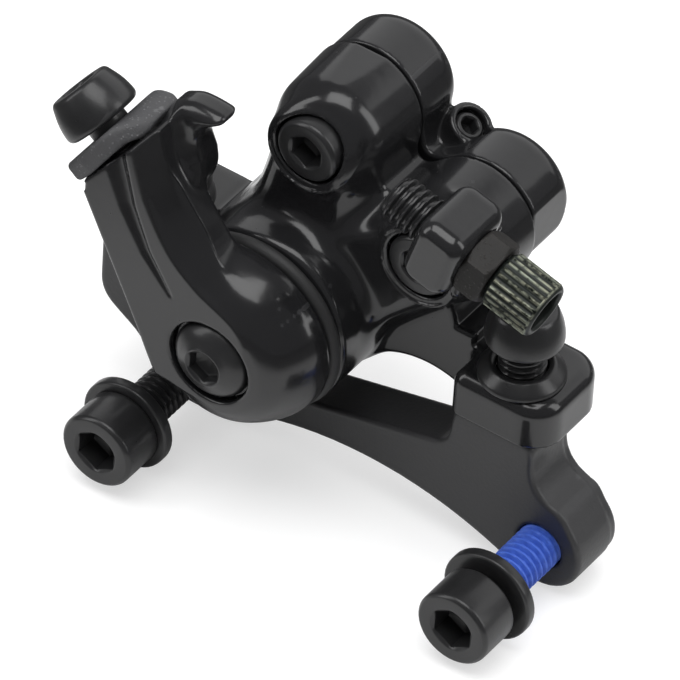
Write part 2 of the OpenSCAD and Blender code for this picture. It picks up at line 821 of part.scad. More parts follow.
// Arm: a stepped horn that grows out of a domed hub
module horn(from, to, edge) {
    slab(from, to)
        polygon(concat([seat_low, axis + [-7.5, -6], axis + [0, -5]], edge));
}
module beak() {
    slab(-8.4, arm_rear)
        polygon(rounded(from_axis([
            [-12.4, 26.9, 0], [-13.4, 22.5, 0], [-9, 18, 0], [-7.3, 21.9, 1], [-8.3, 25.1, 1.5],
            [-5.8, 28.7, 1.2], [-6.3, 30.3, 0.8], [-9.4, 30.3, 2]
        ])));
}
module actuator_arm() {
    shelf = hub_front + shelf_deep;
    rim = hub_front + rim_deep;
    color(gloss_black)
        difference() {
            union() {
                turned(axis, [
                    [0, hub_front], [hub_r - 5.8, hub_front], [hub_r - 4.2, hub_front + 0.4],
                    [hub_r - 2.7, hub_front + 1.4], [hub_r - 1.6, hub_front + 2.9],
                    [hub_r - 0.7, hub_front + 4.7], [hub_r - 0.2, hub_front + 6.2],
                    [hub_r, hub_front + 7.6], [hub_r, arm_back], [0, arm_back]]);
                horn(hub_front, shelf, [
                    axis + [3, 9], axis + [-2.4, 9.7], axis + [-6.2, 13.1], axis + [-8.6, 17.3],
                    axis + [-11, 23.1], seat_high]);
                horn(shelf - over / 2, rim, [
                    axis + [4.4, 10.6], axis + [-1, 12.9], axis + [-5, 16.9], axis + [-7.8, 21.3],
                    axis + [-9.6, 24.1], seat_high]);
                slab(rim - over / 2, arm_rear)
                    polygon(rounded([
                        [seat_low.x + 3, seat_low.y + 3.65, 0], [axis_x - 11.5, axis_z + 12.6, 1],
                        [axis_x - 9, axis_z + 12.6, 0.8], [axis_x - 8.7, axis_z + 16.6, 1.5],
                        [axis_x - 7.2, axis_z + 19.6, 1], [axis_x - 7.2, axis_z + 22.3, 1],
                        [seat_high.x, seat_high.y, 0]]));
                beak();
            }
            rod(axis, hub_front - over, recess_floor, arm_recess_r);
            slab(recess_floor - over, arm_back + over)
                translate(axis)
                    square(drive_side + 2 * run_gap, center = true);
            ring(spring_boss_r, spring_cave_r, web_back, arm_back + over);
            rod(axis, arm_back - face_gap, arm_back + over, shaft_r + run_gap);
            at_clamp()
                translate([0, 0, -clamp_hole_depth])
                    cylinder(h = clamp_hole_depth + over, r = clamp_thread_d / 2);
        }
}
module arm_washer() {
    color(satin_black)
        ring(arm_bolt_d / 2 + bolt_gap, arm_recess_r - 0.45, recess_floor - arm_washer_t, recess_floor);
}
module arm_bolt() {
    seat = recess_floor - arm_washer_t;
    color(satin_black)
        difference() {
            union() {
                turned(axis, [
                    [0, seat - arm_head_h], [arm_head_r * 0.5, seat - arm_head_h],
                    [arm_head_r * 0.82, seat - arm_head_h * 0.75],
                    [arm_head_r * 0.97, seat - arm_head_h * 0.35], [arm_head_r, seat], [0, seat]]);
                translate([axis_x, seat, axis_z])
                    rotate([-90, 0, 0])
                        thread(arm_bolt_d, body_pitch, arm_bolt_len);
            }
            translate([axis_x, seat - arm_head_h, axis_z])
                rotate([90, 0, 0])
                    hex_socket(arm_key, arm_head_h * 0.65);
        }
}
// Puts a shape on the clamp seat, with Z out of the seat and X up along it
module at_clamp() {
    translate([seat_mid.x, clamp_y, seat_mid.y])
        rotate([0, -seat_turn, 0])
            children();
}
module cable_clamp_plate() {
    color(satin_black)
        at_clamp()
            difference() {
                union() {
                    linear_extrude(clamp_plate_t)
                        polygon(rounded([
                            [-6, -4.2, 1], [-2, -5.2, 2], [3, -4.4, 1], [4.2, -2.8, 0],
                            [4.2, 6.1, 0], [1, 6.2, 1], [-6, 1.6, 1]]));
                    translate([0, 0, clamp_bend])
                        linear_extrude(clamp_plate_t)
                            polygon(rounded([
                                [2.8, -4, 0], [6.6, 0.6, 2], [7, 6, 1], [2.8, 6, 0]]));
                }
                translate([0, 0, -over])
                    cylinder(h = clamp_plate_t + 2 * over, r = clamp_thread_d / 2 + bolt_gap);
                translate([0, 0, clamp_plate_t])
                    cylinder(h = clamp_bend + over, r = clamp_collar_r + bolt_gap);
            }
}
module cable_clamp_bolt() {
    color(satin_black)
        at_clamp()
            translate([0, 0, clamp_plate_t]) {
                cylinder(h = clamp_collar_h, r = clamp_collar_r);
                translate([0, 0, clamp_collar_h])
                    taper_bolt(clamp_thread_d, body_pitch, clamp_thread_len);
            }
}

// Cable adjuster
module knurl_outline() {
    polygon([for (i = [0:2 * knurl_count - 1])
        (knurl_r - (i % 2) * 0.3) * [cos(180 * i / knurl_count), sin(180 * i / knurl_count)]]);
}
module barrel_adjuster() {
    color(bare_steel)
        at_cable()
            difference() {
                union() {
                    translate([knurl_start, 0, 0])
                        rotate([0, 90, 0])
                            linear_extrude(knurl_len)
                                knurl_outline();
                    translate([knurl_start + over / 2, 0, 0])
                        rotate([0, -90, 0])
                            thread(stem_d, main_pitch, stem_len);
                }
                cable_rod(-stem_len, knurl_start + knurl_len + over, cable_r);
                cable_rod(knurl_start + knurl_len - housing_depth, knurl_start + knurl_len + over, housing_r);
            }
}
module adjuster_lock_nut() {
    color(satin_black)
        at_cable()
            difference() {
                translate([nut_start, 0, 0])
                    rotate([0, 90, 0])
                        cylinder(h = nut_len, r = nut_af / 2 / cos(30), $fn = 6);
                cable_rod(nut_start - over, nut_start + nut_len + over, stem_d / 2);
            }
}

// Pads and the fixed pad's adjuster
module pad_part(from, to, tab) {
    difference() {
        slab(from, to)
            if (tab)
                pad_outline(0);
            else
                translate(axis)
                    circle(pad_r - 0.4);
        if (from > rotor_y)
            translate([axis_x, screw_y, axis_z])
                rotate([0, 90 - screw_lean, 0])
                    translate([-screw_tip_r - 0.3, -lining_t - 2, pad_r - notch_depth])
                        cube([2 * screw_tip_r + 0.6, 2 * lining_t + 4, notch_depth + over]);
    }
}
module moving_pad_plate() {
    color(bare_steel)
        pad_part(moving_plate_y, moving_plate_y + pad_plate_t, true);
}
module moving_pad_lining() {
    color(lining_brown)
        pad_part(lining_front - lining_t, lining_front, false);
}
module fixed_pad_plate() {
    color(bare_steel)
        pad_part(fixed_plate_y, plug_front, true);
}
module fixed_pad_lining() {
    color(lining_brown)
        pad_part(fixed_lining_y, fixed_plate_y, false);
}
module pad_adjuster() {
    color(bare_steel)
        difference() {
            rod(axis, plug_front, plug_back, plug_r);
            rod(axis, plug_front - over, plug_front + magnet_t, magnet_r);
            groove(plug_r, plug_seal_y);
            translate([axis_x, plug_back, axis_z])
                rotate([-90, 0, 0])
                    hex_socket(5, 2);
        }
}
module adjuster_oring() {
    color(rubber_black)
        oring(plug_r, plug_seal_y);
}
module adjuster_magnet() {
    color(bare_steel)
        rod(axis, plug_front, plug_front + magnet_t, magnet_r);
}
module pad_retaining_screw() {
    tip_start = pad_r - notch_depth + 0.4;
    body_start = pocket_r + 1.6;
    head_sink = 1;
    color(satin_black)
        translate([axis_x, screw_y, axis_z])
            rotate([0, 90 - screw_lean, 0])
                difference() {
                    union() {
                        translate([0, 0, tip_start])
                            cylinder(h = body_start - tip_start + over, r = screw_tip_r);
                        translate([0, 0, body_start])
                            thread(2 * screw_r, 0.7, boss_top - body_start - head_sink);
                    }
                    translate([0, 0, boss_top - head_sink])
                        hex_socket(2, 2);
                }
}

mount_bracket();
mount_bolt_left();
mount_bolt_right();
mount_washers();
caliper_bolt_left();
caliper_bolt_right();
dished_washers();
outer_body();
inner_body();
body_bolt_upper();
body_bolt_lower();
dust_seal();
shaft_bush();
thrust_washer();
cam_shaft();
ramp_balls();
pressure_foot();
foot_seal();
foot_magnet();
return_spring();
actuator_arm();
arm_bolt();
arm_washer();
cable_clamp_plate();
cable_clamp_bolt();
barrel_adjuster();
adjuster_lock_nut();
moving_pad_plate();
moving_pad_lining();
fixed_pad_plate();
fixed_pad_lining();
pad_adjuster();
adjuster_oring();
adjuster_magnet();
pad_retaining_screw();
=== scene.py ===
# %% [markdown]
# # A cable-pulled disc brake caliper
# The part arrives as a frame of exact solids: every bolt, bore and joint is already in place.
# This lesson dresses that frame. The castings are modelled again as soft clay, the screws get
# real helical threads, and every surface gets a finish made of shader nodes.

# %% Load the frame
import json
import math

import bpy
import numpy as np
from mathutils import Matrix, Vector


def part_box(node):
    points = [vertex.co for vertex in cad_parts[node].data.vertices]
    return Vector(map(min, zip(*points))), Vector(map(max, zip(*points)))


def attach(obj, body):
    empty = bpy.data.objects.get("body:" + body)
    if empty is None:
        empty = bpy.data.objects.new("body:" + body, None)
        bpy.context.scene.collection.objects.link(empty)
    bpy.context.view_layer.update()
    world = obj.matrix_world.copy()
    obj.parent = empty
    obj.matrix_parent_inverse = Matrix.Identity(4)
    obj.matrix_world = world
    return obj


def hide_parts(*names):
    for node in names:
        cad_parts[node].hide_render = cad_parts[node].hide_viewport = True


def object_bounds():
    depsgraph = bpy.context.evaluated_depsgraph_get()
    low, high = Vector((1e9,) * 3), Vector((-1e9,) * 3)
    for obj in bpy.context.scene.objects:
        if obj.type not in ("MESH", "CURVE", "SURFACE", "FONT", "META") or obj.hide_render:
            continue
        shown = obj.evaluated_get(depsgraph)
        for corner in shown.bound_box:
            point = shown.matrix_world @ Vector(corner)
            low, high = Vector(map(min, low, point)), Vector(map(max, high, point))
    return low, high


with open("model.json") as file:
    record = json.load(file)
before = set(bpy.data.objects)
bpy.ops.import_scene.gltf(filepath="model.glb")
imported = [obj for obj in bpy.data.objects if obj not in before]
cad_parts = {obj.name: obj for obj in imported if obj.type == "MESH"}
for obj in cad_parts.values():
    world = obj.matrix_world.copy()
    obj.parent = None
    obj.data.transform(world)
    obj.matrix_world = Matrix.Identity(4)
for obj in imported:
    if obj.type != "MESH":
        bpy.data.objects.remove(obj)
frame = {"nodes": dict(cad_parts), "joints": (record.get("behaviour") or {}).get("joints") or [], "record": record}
cad_low, cad_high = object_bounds()

# %% [markdown]
# ## Places
# Sizes here are millimetres, because a caliper is drawn in millimetres. Places are read from the
# frame: a bolt's middle from the box of its node, an axis from its joint. So if a bolt moves in
# the solids, its dressing moves with it.

# %% Read the places
MM = 0.001
joints = {j["name"]: j for j in frame["joints"]}
mounts = {m["name"]: m for m in frame["record"]["mounts"]}
body_of_node = {n: b for b, nodes in frame["record"]["behaviour"]["bodies"].items() for n in nodes}


def low(node):
    return np.array(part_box(node)[0]) / MM


def high(node):
    return np.array(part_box(node)[1]) / MM


def middle(node):
    return (low(node) + high(node)) / 2


def in_xz(point):
    return np.array([point[0], point[2]])


def toward(a, b):
    return (b - a) / np.hypot(*(b - a))


axis = in_xz(np.array(joints["arm_swing"]["pos_m"]) / MM)
lobe_up = in_xz(middle("body_bolt_upper"))
lobe_low = in_xz(middle("body_bolt_lower"))
pad_way = toward(axis, (lobe_up + lobe_low) / 2)
stop_place = np.array(joints["barrel_turn"]["pos_m"]) / MM
cable_way = np.array(joints["barrel_turn"]["axis"])
clamp_place = np.array(mounts["cable_clamp"]["pos_m"]) / MM
clamp_way = np.array(mounts["cable_clamp"]["axis"])
print("actuator axis at", axis, "body bolts at", lobe_up.round(2), lobe_low.round(2))

# %% [markdown]
# ## Shader maths as Python
# A finish is a sum of masks: cloudy roughness plus worn edges plus specks. Wiring that by hand
# hides the sum among boxes. One small class wraps a socket, so that `0.2 + 0.1 * cloud` adds the
# nodes itself. Plain values use Math nodes, vectors Vector Math, colours Mix.


# %% A socket that does arithmetic
class Signal:
    def __init__(self, tree, socket):
        self.tree = tree
        self.socket = socket

    def node(self, kind, settings=None, inputs=None, output=0):
        made = self.tree.nodes.new(kind)
        for name, value in (settings or {}).items():
            setattr(made, name, value)
        for name, value in (inputs or {}).items():
            self.plug(value, made.inputs[name])
        return Signal(self.tree, made.outputs[output])

    def plug(self, value, socket):
        if isinstance(value, Signal):
            self.tree.links.new(value.socket, socket)
        else:
            socket.default_value = value

    def combine(self, other, operation, swapped=False):
        first, second = (other, self) if swapped else (self, other)
        kinds = {s.socket.type for s in (first, second) if isinstance(s, Signal)}
        if "RGBA" in kinds:
            settings = {"data_type": "RGBA", "blend_type": operation}
            return self.node("ShaderNodeMix", settings, {0: 1.0, 6: first, 7: second}, 2)
        kind = "ShaderNodeVectorMath" if "VECTOR" in kinds else "ShaderNodeMath"
        if kind == "ShaderNodeVectorMath":
            first, second = (s if isinstance(s, Signal) or np.ndim(s) else (s, s, s)
                             for s in (first, second))
        return self.node(kind, {"operation": operation}, {0: first, 1: second})

    def __add__(self, other):
        return self.combine(other, "ADD")

    def __radd__(self, other):
        return self.combine(other, "ADD", True)

    def __sub__(self, other):
        return self.combine(other, "SUBTRACT")

    def __rsub__(self, other):
        return self.combine(other, "SUBTRACT", True)

    def __mul__(self, other):
        return self.combine(other, "MULTIPLY")

    def __rmul__(self, other):
        return self.combine(other, "MULTIPLY", True)

    def between(self, start, end):
        """0 below start, 1 above end, smooth in the middle."""
        inputs = {"Value": self, "From Min": start, "From Max": end}
        return self.node("ShaderNodeMapRange", {"interpolation_type": "SMOOTHSTEP"}, inputs)


# %% [markdown]
# ## Helpers for a finish
# Each finish starts from the piece's own coordinates in millimetres, so grain keeps its real size
# and moves with the piece. `grain` is noise with a wavelength in millimetres, `specks` are dots,
# `edges` finds convex edges from how pointed the mesh is, and `tint` blends two colours. Painted
# image maps could do the same, but nodes keep their sharpness at any distance.


# %% Make a finish
def new_finish(name):
    material = bpy.data.materials.new(name)
    material.use_nodes = True
    tree = material.node_tree
    tree.nodes.clear()
    shader = tree.nodes.new("ShaderNodeBsdfPrincipled")
    output = tree.nodes.new("ShaderNodeOutputMaterial")
    tree.links.new(shader.outputs[0], output.inputs["Surface"])
    start = Signal(tree, shader.outputs[0])
    place = start.node("ShaderNodeTexCoord", output="Object") * 1000.0
    return material, shader, place


def grain(place, wavelength, detail=2.0, rough=0.5):
    inputs = {"Vector": place, "Scale": 1.0 / wavelength, "Detail": detail, "Roughness": rough}
    return place.node("ShaderNodeTexNoise", inputs=inputs)


def specks(place, spacing, size):
    inputs = {"Vector": place, "Scale": 1.0 / spacing}
    return 1.0 - place.node("ShaderNodeTexVoronoi", inputs=inputs).between(0.0, size / spacing)


def edges(place, start, end):
    return place.node("ShaderNodeNewGeometry", output="Pointiness").between(start, end)


def tint(place, amount, plain, wear_and_highlight):
    plain, wear_and_highlight = (c if isinstance(c, Signal) else c + (1.0,) for c in (plain, wear_and_highlight))
    return place.node("ShaderNodeMix", {"data_type": "RGBA"}, {0: amount, 6: plain, 7: wear_and_highlight}, 2)


def apply_looks(place, shader, colour, roughness, height, depth, **constants):
    bump = {"Height": height, "Distance": depth, "Strength": 1.0}
    normal = place.node("ShaderNodeBump", inputs=bump)
    for name, value in {"Base Color": colour, "Roughness": roughness, "Normal": normal}.items():
        place.plug(value, shader.inputs[name])
    for name, value in constants.items():
        shader.inputs[name.replace("_", " ")].default_value = value


# %% [markdown]
# ## Finishes
# The castings are sprayed gloss black: a dark base under a clear, slightly rippled coat. The
# bracket has a thinner, satin coat over a coarser casting. The screws are blackened steel, the
# knurled adjuster is plated alloy, and the inner pieces are bare metal, rubber and lining. One
# even colour would do from afar, but black paint without cloud, dust and worn edges looks unreal.


# %% Gloss black paint
def gloss_black_paint():
    material, shader, place = new_finish("gloss_black_paint")
    cloud = grain(place, 9.0, 3.0)
    peel = grain(place, 1.6, 1.0)
    dust = specks(place, 2.6, 0.16)
    wear_and_highlight = edges(place, 0.53, 0.62)
    wear = 0.25 * cloud + 0.35 * wear_and_highlight + 0.25 * dust
    colour = tint(place, wear, (0.0075, 0.0075, 0.008), (0.03, 0.03, 0.032))
    rough = 0.12 + 0.12 * cloud + 0.12 * wear_and_highlight + 0.25 * dust
    apply_looks(place, shader, colour, rough, peel + 0.6 * dust, 0.000015,
                Coat_Weight=0.2, Coat_Roughness=0.06)
    return material


# %% Satin black paint on the bracket
def satin_black_paint():
    material, shader, place = new_finish("satin_black_paint")
    cloud = grain(place, 12.0, 3.0)
    sand = grain(place, 0.55, 3.0, 0.6)
    dust = specks(place, 3.4, 0.2)
    wear_and_highlight = edges(place, 0.52, 0.6)
    wear = 0.3 * cloud + 0.4 * wear_and_highlight + 0.3 * dust
    colour = tint(place, wear, (0.016, 0.016, 0.017), (0.05, 0.05, 0.052))
    rough = 0.34 + 0.14 * cloud + 0.1 * sand
    apply_looks(place, shader, colour, rough, sand + 0.5 * dust, 0.00004,
                Coat_Weight=0.15, Coat_Roughness=0.2)
    return material


# %% Blackened steel for the screws
def blackened_steel(name="blackened_steel"):
    material, shader, place = new_finish(name)
    cloud = grain(place, 5.0, 3.0)
    fine = grain(place, 0.35, 2.0)
    wear_and_highlight = edges(place, 0.53, 0.65)
    colour = tint(place, 0.4 * cloud + 0.5 * wear_and_highlight, (0.008, 0.008, 0.0085), (0.035, 0.035, 0.036))
    rough = 0.2 + 0.12 * cloud + 0.1 * fine
    apply_looks(place, shader, colour, rough, fine, 0.00001, Coat_Weight=0.1, Coat_Roughness=0.12)
    return material


# %% Rough steel for the clamp plate and the nut
def stamped_steel(name, plain, bright):
    material, shader, place = new_finish(name)
    cloud = grain(place, 4.0, 3.0)
    sand = grain(place, 0.3, 2.0, 0.7)
    flecks = specks(place, 0.55, 0.2)
    wear_and_highlight = edges(place, 0.52, 0.62)
    colour = tint(place, 0.25 * cloud + 0.4 * flecks + 0.3 * wear_and_highlight, plain, bright)
    apply_looks(place, shader, colour, 0.5 + 0.2 * cloud - 0.15 * flecks, sand + flecks, 0.00006)
    return material


# %% Blue thread lock on one frame bolt
def thread_locked_steel(lock_start, lock_end):
    material = blackened_steel("thread_locked_steel")
    tree = material.node_tree
    shader = next(n for n in tree.nodes if n.type == "BSDF_PRINCIPLED")
    dark = Signal(tree, shader.inputs["Base Color"].links[0].from_socket)
    rough = Signal(tree, shader.inputs["Roughness"].links[0].from_socket)
    place = dark.node("ShaderNodeTexCoord", output="Object") * 1000.0
    along = place.node("ShaderNodeSeparateXYZ", inputs={0: place}, output="Y")
    ragged = 0.9 * grain(place, 1.1, 2.0)
    patch = (along + ragged).between(lock_start, lock_start + 0.6)
    patch = patch * (1.0 - (along + ragged).between(lock_end, lock_end + 0.6))
    wear_and_highlight = 0.75 + 0.25 * grain(place, 0.6, 2.0)
    blue = tint(place, grain(place, 0.8, 2.0), (0.015, 0.06, 0.42), (0.07, 0.17, 0.66))
    place.plug(tint(place, patch * wear_and_highlight, dark, blue), shader.inputs["Base Color"])
    place.plug(rough + 0.35 * patch, shader.inputs["Roughness"])
    return material


# %% Plated alloy of the knurled adjuster
KNURL_R = 3.7


def plated_alloy():
    material, shader, place = new_finish("plated_alloy")
    cloud = grain(place, 3.0, 3.0)
    fine = grain(place, 0.3, 3.0)
    from_middle = place - tuple(stop_place)
    across = {0: from_middle, 1: tuple(cable_way)}
    off_axis = place.node("ShaderNodeVectorMath", {"operation": "CROSS_PRODUCT"}, across)
    radius = place.node("ShaderNodeVectorMath", {"operation": "LENGTH"}, {0: off_axis}, "Value")
    # The crests of the ridges are painted lighter and gold, in patches: a painted highlight where the ridges catch
    # the light, while the grooves keep the dark base.
    wear_and_highlight = radius.between(KNURL_R - 0.26, KNURL_R - 0.02)
    crest = tint(place, grain(place, 1.3, 2.0), (0.2, 0.25, 0.22), (0.4, 0.38, 0.27))
    amount = wear_and_highlight * grain(place, 0.7, 2.0).between(0.3, 0.6)
    colour = tint(place, amount, (0.01, 0.013, 0.011), crest)
    rough = 0.3 + 0.15 * cloud + 0.1 * fine
    place.plug(0.3 + 0.7 * wear_and_highlight, shader.inputs["Metallic"])
    apply_looks(place, shader, colour, rough, fine, 0.00002)
    return material


# %% Bare metals, rubber and lining
def turned_metal(name, plain, bright, rough_base):
    material, shader, place = new_finish(name)
    lathe = {"Vector": place, "Scale": 1.4, "Distortion": 0.6}
    rings = place.node("ShaderNodeTexWave", {"bands_direction": "Y"}, lathe, 1)
    cloud = grain(place, 4.0, 3.0)
    wear_and_highlight = edges(place, 0.52, 0.6)
    colour = tint(place, 0.5 * cloud + 0.4 * wear_and_highlight, plain, bright)
    rough = rough_base + 0.1 * cloud + 0.08 * rings
    apply_looks(place, shader, colour, rough, rings, 0.00001, Metallic=1.0)
    return material


def black_rubber():
    material, shader, place = new_finish("black_rubber")
    cloud = grain(place, 3.0, 3.0)
    fine = grain(place, 0.25, 3.0)
    colour = tint(place, cloud, (0.008, 0.008, 0.008), (0.022, 0.022, 0.023))
    apply_looks(place, shader, colour, 0.45 + 0.25 * cloud, fine, 0.00003)
    return material


def brake_lining():
    material, shader, place = new_finish("brake_lining")
    cloud = grain(place, 2.0, 4.0)
    flakes = specks(place, 0.9, 0.3)
    colour = tint(place, 0.5 * cloud + 0.5 * flakes, (0.07, 0.05, 0.035), (0.35, 0.25, 0.16))
    apply_looks(place, shader, colour, 0.7 + 0.2 * cloud, cloud + flakes, 0.00008)
    return material


# %% Mix the finishes
paint = gloss_black_paint()
bracket_paint = satin_black_paint()
steel = blackened_steel()
stamped = stamped_steel("stamped_steel", (0.03, 0.03, 0.032), (0.16, 0.16, 0.165))
nut_steel = stamped_steel("nut_steel", (0.006, 0.0055, 0.005), (0.026, 0.023, 0.02))
plating = plated_alloy()
bright_steel = turned_metal("bare_steel", (0.32, 0.32, 0.33), (0.62, 0.62, 0.63), 0.22)
bronze = turned_metal("bearing_bronze", (0.4, 0.26, 0.12), (0.66, 0.46, 0.24), 0.28)
rubber = black_rubber()
lining = brake_lining()
print("finishes:", len(bpy.data.materials))

# %% [markdown]
# ## Clay
# A casting has no sharp joins: every boss melts into its neighbour with a fillet. Bevelling a
# boolean model does this badly. Here a casting is a distance field instead, a rule that gives
# each point its distance to the surface. Two forms melt by a smooth minimum of their distances,
# and a bore is carved with a smooth maximum. The skin where the distance is zero becomes the mesh.


# %% Melt, carve and meet
def melt(a, b, fillet):
    near = np.maximum(fillet - np.abs(a - b), 0) / fillet
    return np.minimum(a, b) - near * near * fillet / 4


def carve(a, b, edge):
    return -melt(-a, b, edge)


def meet(a, b, edge):
    return -melt(-a, -b, edge)


def round_meet(a, b, edge):
    a, b = a + edge, b + edge
    return np.minimum(np.maximum(a, b), 0) + np.hypot(np.maximum(a, 0), np.maximum(b, 0)) - edge


def slab(flat, y, front, back, edge):
    return round_meet(flat, np.abs(y - (front + back) / 2) - (back - front) / 2, edge)


def rod(x, y, z, place, r, front, back, edge=0.3):
    return slab(np.hypot(x - place[0], z - place[1]) - r, y, front, back, edge)


def along_way(x, z, start, way):
    """Distances from a start: along a way in the X-Z plane, and to its left."""
    u, v = x - start[0], z - start[1]
    return u * way[0] + v * way[1], v * way[0] - u * way[1]


def block(x, y, z, half, edge):
    out = [np.abs(way) - size + edge for way, size in zip((x, y, z), half)]
    inner = np.minimum(np.maximum(np.maximum(out[0], out[1]), out[2]), 0)
    return inner + np.sqrt(sum(np.maximum(o, 0) ** 2 for o in out)) - edge


def outline_distance(loop, u, v):
    shape = np.broadcast_shapes(np.shape(u), np.shape(v))
    nearest = np.full(shape, np.inf)
    inside = np.zeros(shape, bool)
    for (au, av), (bu, bv) in zip(loop, np.roll(loop, -1, axis=0)):
        eu, ev = bu - au, bv - av
        if eu == 0 and ev == 0:
            continue
        wu, wv = u - au, v - av
        t = np.clip((wu * eu + wv * ev) / (eu * eu + ev * ev), 0, 1)
        nearest = np.minimum(nearest, (wu - eu * t) ** 2 + (wv - ev * t) ** 2)
        if ev:
            inside ^= ((av > v) != (bv > v)) & (wu < eu * wv / ev)
    return np.where(inside, -1, 1) * np.sqrt(nearest)


def dome(x, y, z, place, profile):
    """A shape turned about a line along Y, whose profile points are (radius, y)."""
    right = np.array(profile, float)
    left = right[::-1] * (-1, 1)
    return outline_distance(np.vstack([right, left]), np.hypot(x - place[0], z - place[1]), y)


def smooth_line(points, steps=6):
    """A soft curve through a few chosen points."""
    p = np.array(points, float)
    p = np.vstack([2 * p[0] - p[1], p, 2 * p[-1] - p[-2]])
    curve = []
    for a, b, c, d in zip(p, p[1:], p[2:], p[3:]):
        for t in np.arange(steps) / steps:
            curve.append(0.5 * (2 * b + (c - a) * t + (2 * a - 5 * b + 4 * c - d) * t**2
                                + (3 * b - 3 * c + d - a) * t**3))
    return np.vstack([curve, p[-2:-1]])


# %% [markdown]
# The skin is found on a grid. Each cell that the surface passes through gets one point, placed
# among the crossings on its edges, and neighbouring points join into four-sided faces. Two steps
# along the slope of the field then put each point exactly on the surface, so that gloss paint
# shows no ripple from the grid.


# %% Skin a field
CORNERS = np.array([[i, j, k] for i in (0, 1) for j in (0, 1) for k in (0, 1)])
CELL_EDGES = [(a, b) for a in range(8) for b in range(a + 1, 8)
              if abs(CORNERS[a] - CORNERS[b]).sum() == 1]


def skin(field, start, end, voxel):
    ways = [np.arange(a - 2 * voxel, b + 2.5 * voxel, voxel) for a, b in zip(start, end)]
    values = np.array(field(*np.ix_(*ways)))
    inside = values < 0
    nx, ny, nz = np.array(inside.shape) - 1
    count = sum(inside[i:nx + i, j:ny + j, k:nz + k].astype(int) for i, j, k in CORNERS)
    mixed = (count > 0) & (count < 8)
    cells = np.argwhere(mixed)
    number = np.full(mixed.shape, -1)
    number[mixed] = np.arange(len(cells))
    total = np.zeros((len(cells), 3))
    hits = np.zeros(len(cells))
    at_corner = [values[tuple((cells + c).T)] for c in CORNERS]
    for a, b in CELL_EDGES:
        crossed = (at_corner[a] < 0) != (at_corner[b] < 0)
        t = at_corner[a][crossed] / (at_corner[a][crossed] - at_corner[b][crossed])
        total[crossed] += CORNERS[a] + t[:, None] * (CORNERS[b] - CORNERS[a])
        hits[crossed] += 1
    points = np.array([w[0] for w in ways]) + voxel * (cells + total / hits[:, None])
    faces = []
    for way in range(3):
        side, up = np.eye(3, dtype=int)[(way + 1) % 3], np.eye(3, dtype=int)[(way + 2) % 3]
        first = np.take(inside, range(inside.shape[way] - 1), way)
        second = np.take(inside, range(1, inside.shape[way]), way)
        spots = np.argwhere(first != second)
        ring = [number[tuple((spots - s).T)] for s in (0 * side, side, side + up, up)]
        quads = np.stack(ring, 1)
        outward = first[tuple(spots.T)]
        quads[~outward] = quads[~outward][:, ::-1]
        faces.append(quads)
    return settle(field, points), np.vstack(faces)


def settle(field, points, reach=0.02, limit=0.2):
    for _ in range(2):
        here = field(*points.T)
        slope = np.stack([field(*(points + reach * way).T) - here for way in np.eye(3)], 1) / reach
        steep = np.maximum((slope**2).sum(1), 0.3)
        points = points - np.clip(here / steep, -limit, limit)[:, None] * slope
    return points


# %% [markdown]
# A mesh becomes a piece: it gets its finish and rides on the body of the node that it stands for.


# %% Put a piece into the scene
slot_of = {s["node"]: s["material_slot"] for s in frame["record"]["subparts"]}


def put(name, points, faces, material, node, sharp=None):
    mesh = bpy.data.meshes.new(name)
    mesh.from_pydata((np.asarray(points) * MM).tolist(), [], [list(map(int, f)) for f in faces])
    mesh.validate()
    mesh.shade_smooth()
    if sharp is not None:
        mesh.set_sharp_from_angle(angle=math.radians(sharp))
    mesh.materials.append(material)
    piece = bpy.data.objects.new(name, mesh)
    bpy.context.scene.collection.objects.link(piece)
    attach(piece, body_of_node[node])
    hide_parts(node)
    print(name, len(mesh.polygons), "faces")


def within(field, start, end):
    """The field, cut to the box of the node that it stands for."""
    def cut(x, y, z):
        walls = [np.maximum(a - w, w - b) for w, a, b in zip((x, y, z), start, end)]
        return np.maximum(field(x, y, z), np.maximum(np.maximum(walls[0], walls[1]), walls[2]))
    return cut


def cast(name, field, node, material, voxel, headroom=0.0):
    start, end = low(node), high(node) + (0, 0, headroom)
    voxel *= 1.0
    points, faces = skin(within(field, start, end), start, end, voxel)
    put(name, points, faces, material, node)


# %% [markdown]
# ## Sections of the solids
# An outline that the solids already hold isn't drawn again. A cut through a node's mesh at one
# depth gives its loops, the largest first.


# %% Cut a section
def section(node, depth):
    mesh = frame["nodes"][node].data
    mesh.calc_loop_triangles()
    raw = np.array([v.co for v in mesh.vertices]) / MM
    points, same = np.unique(raw.round(4), axis=0, return_inverse=True)
    same = same.ravel()
    follow = {}
    for triangle in mesh.loop_triangles:
        ids = [same[i] for i in triangle.vertices]
        ends = {}
        for a, b in zip(ids, ids[1:] + ids[:1]):
            ya, yb = points[a][1] - depth, points[b][1] - depth
            if (ya < 0) != (yb < 0):
                spot = points[a] + (points[b] - points[a]) * ya / (ya - yb)
                ends[ya < 0] = (tuple(sorted((int(a), int(b)))), in_xz(spot))
        if len(ends) == 2:
            follow[ends[True][0]] = (ends[False][0], ends[True][1])
    loops = []
    while follow:
        key, loop = next(iter(follow)), []
        while key in follow:
            key, spot = follow.pop(key)
            loop.append(spot)
        loops.append(thin(np.array(loop)))
    return sorted(loops, key=lambda l: -abs(loop_area(l)))


def loop_area(loop):
    return 0.5 * np.sum(loop[:, 0] * np.roll(loop[:, 1], -1) - np.roll(loop[:, 0], -1) * loop[:, 1])


def thin(loop, slack=0.004):
    """Drops points that lie on the line between their neighbours."""
    keep = np.ones(len(loop), bool)
    last = 0
    for i in range(1, len(loop) - 1):
        chord, step = loop[i + 1] - loop[last], loop[i] - loop[last]
        off = abs(chord[0] * step[1] - chord[1] * step[0]) / max(np.hypot(*chord), 1e-9)
        if off < slack:
            keep[i] = False
        else:
            last = i
    return loop[keep]


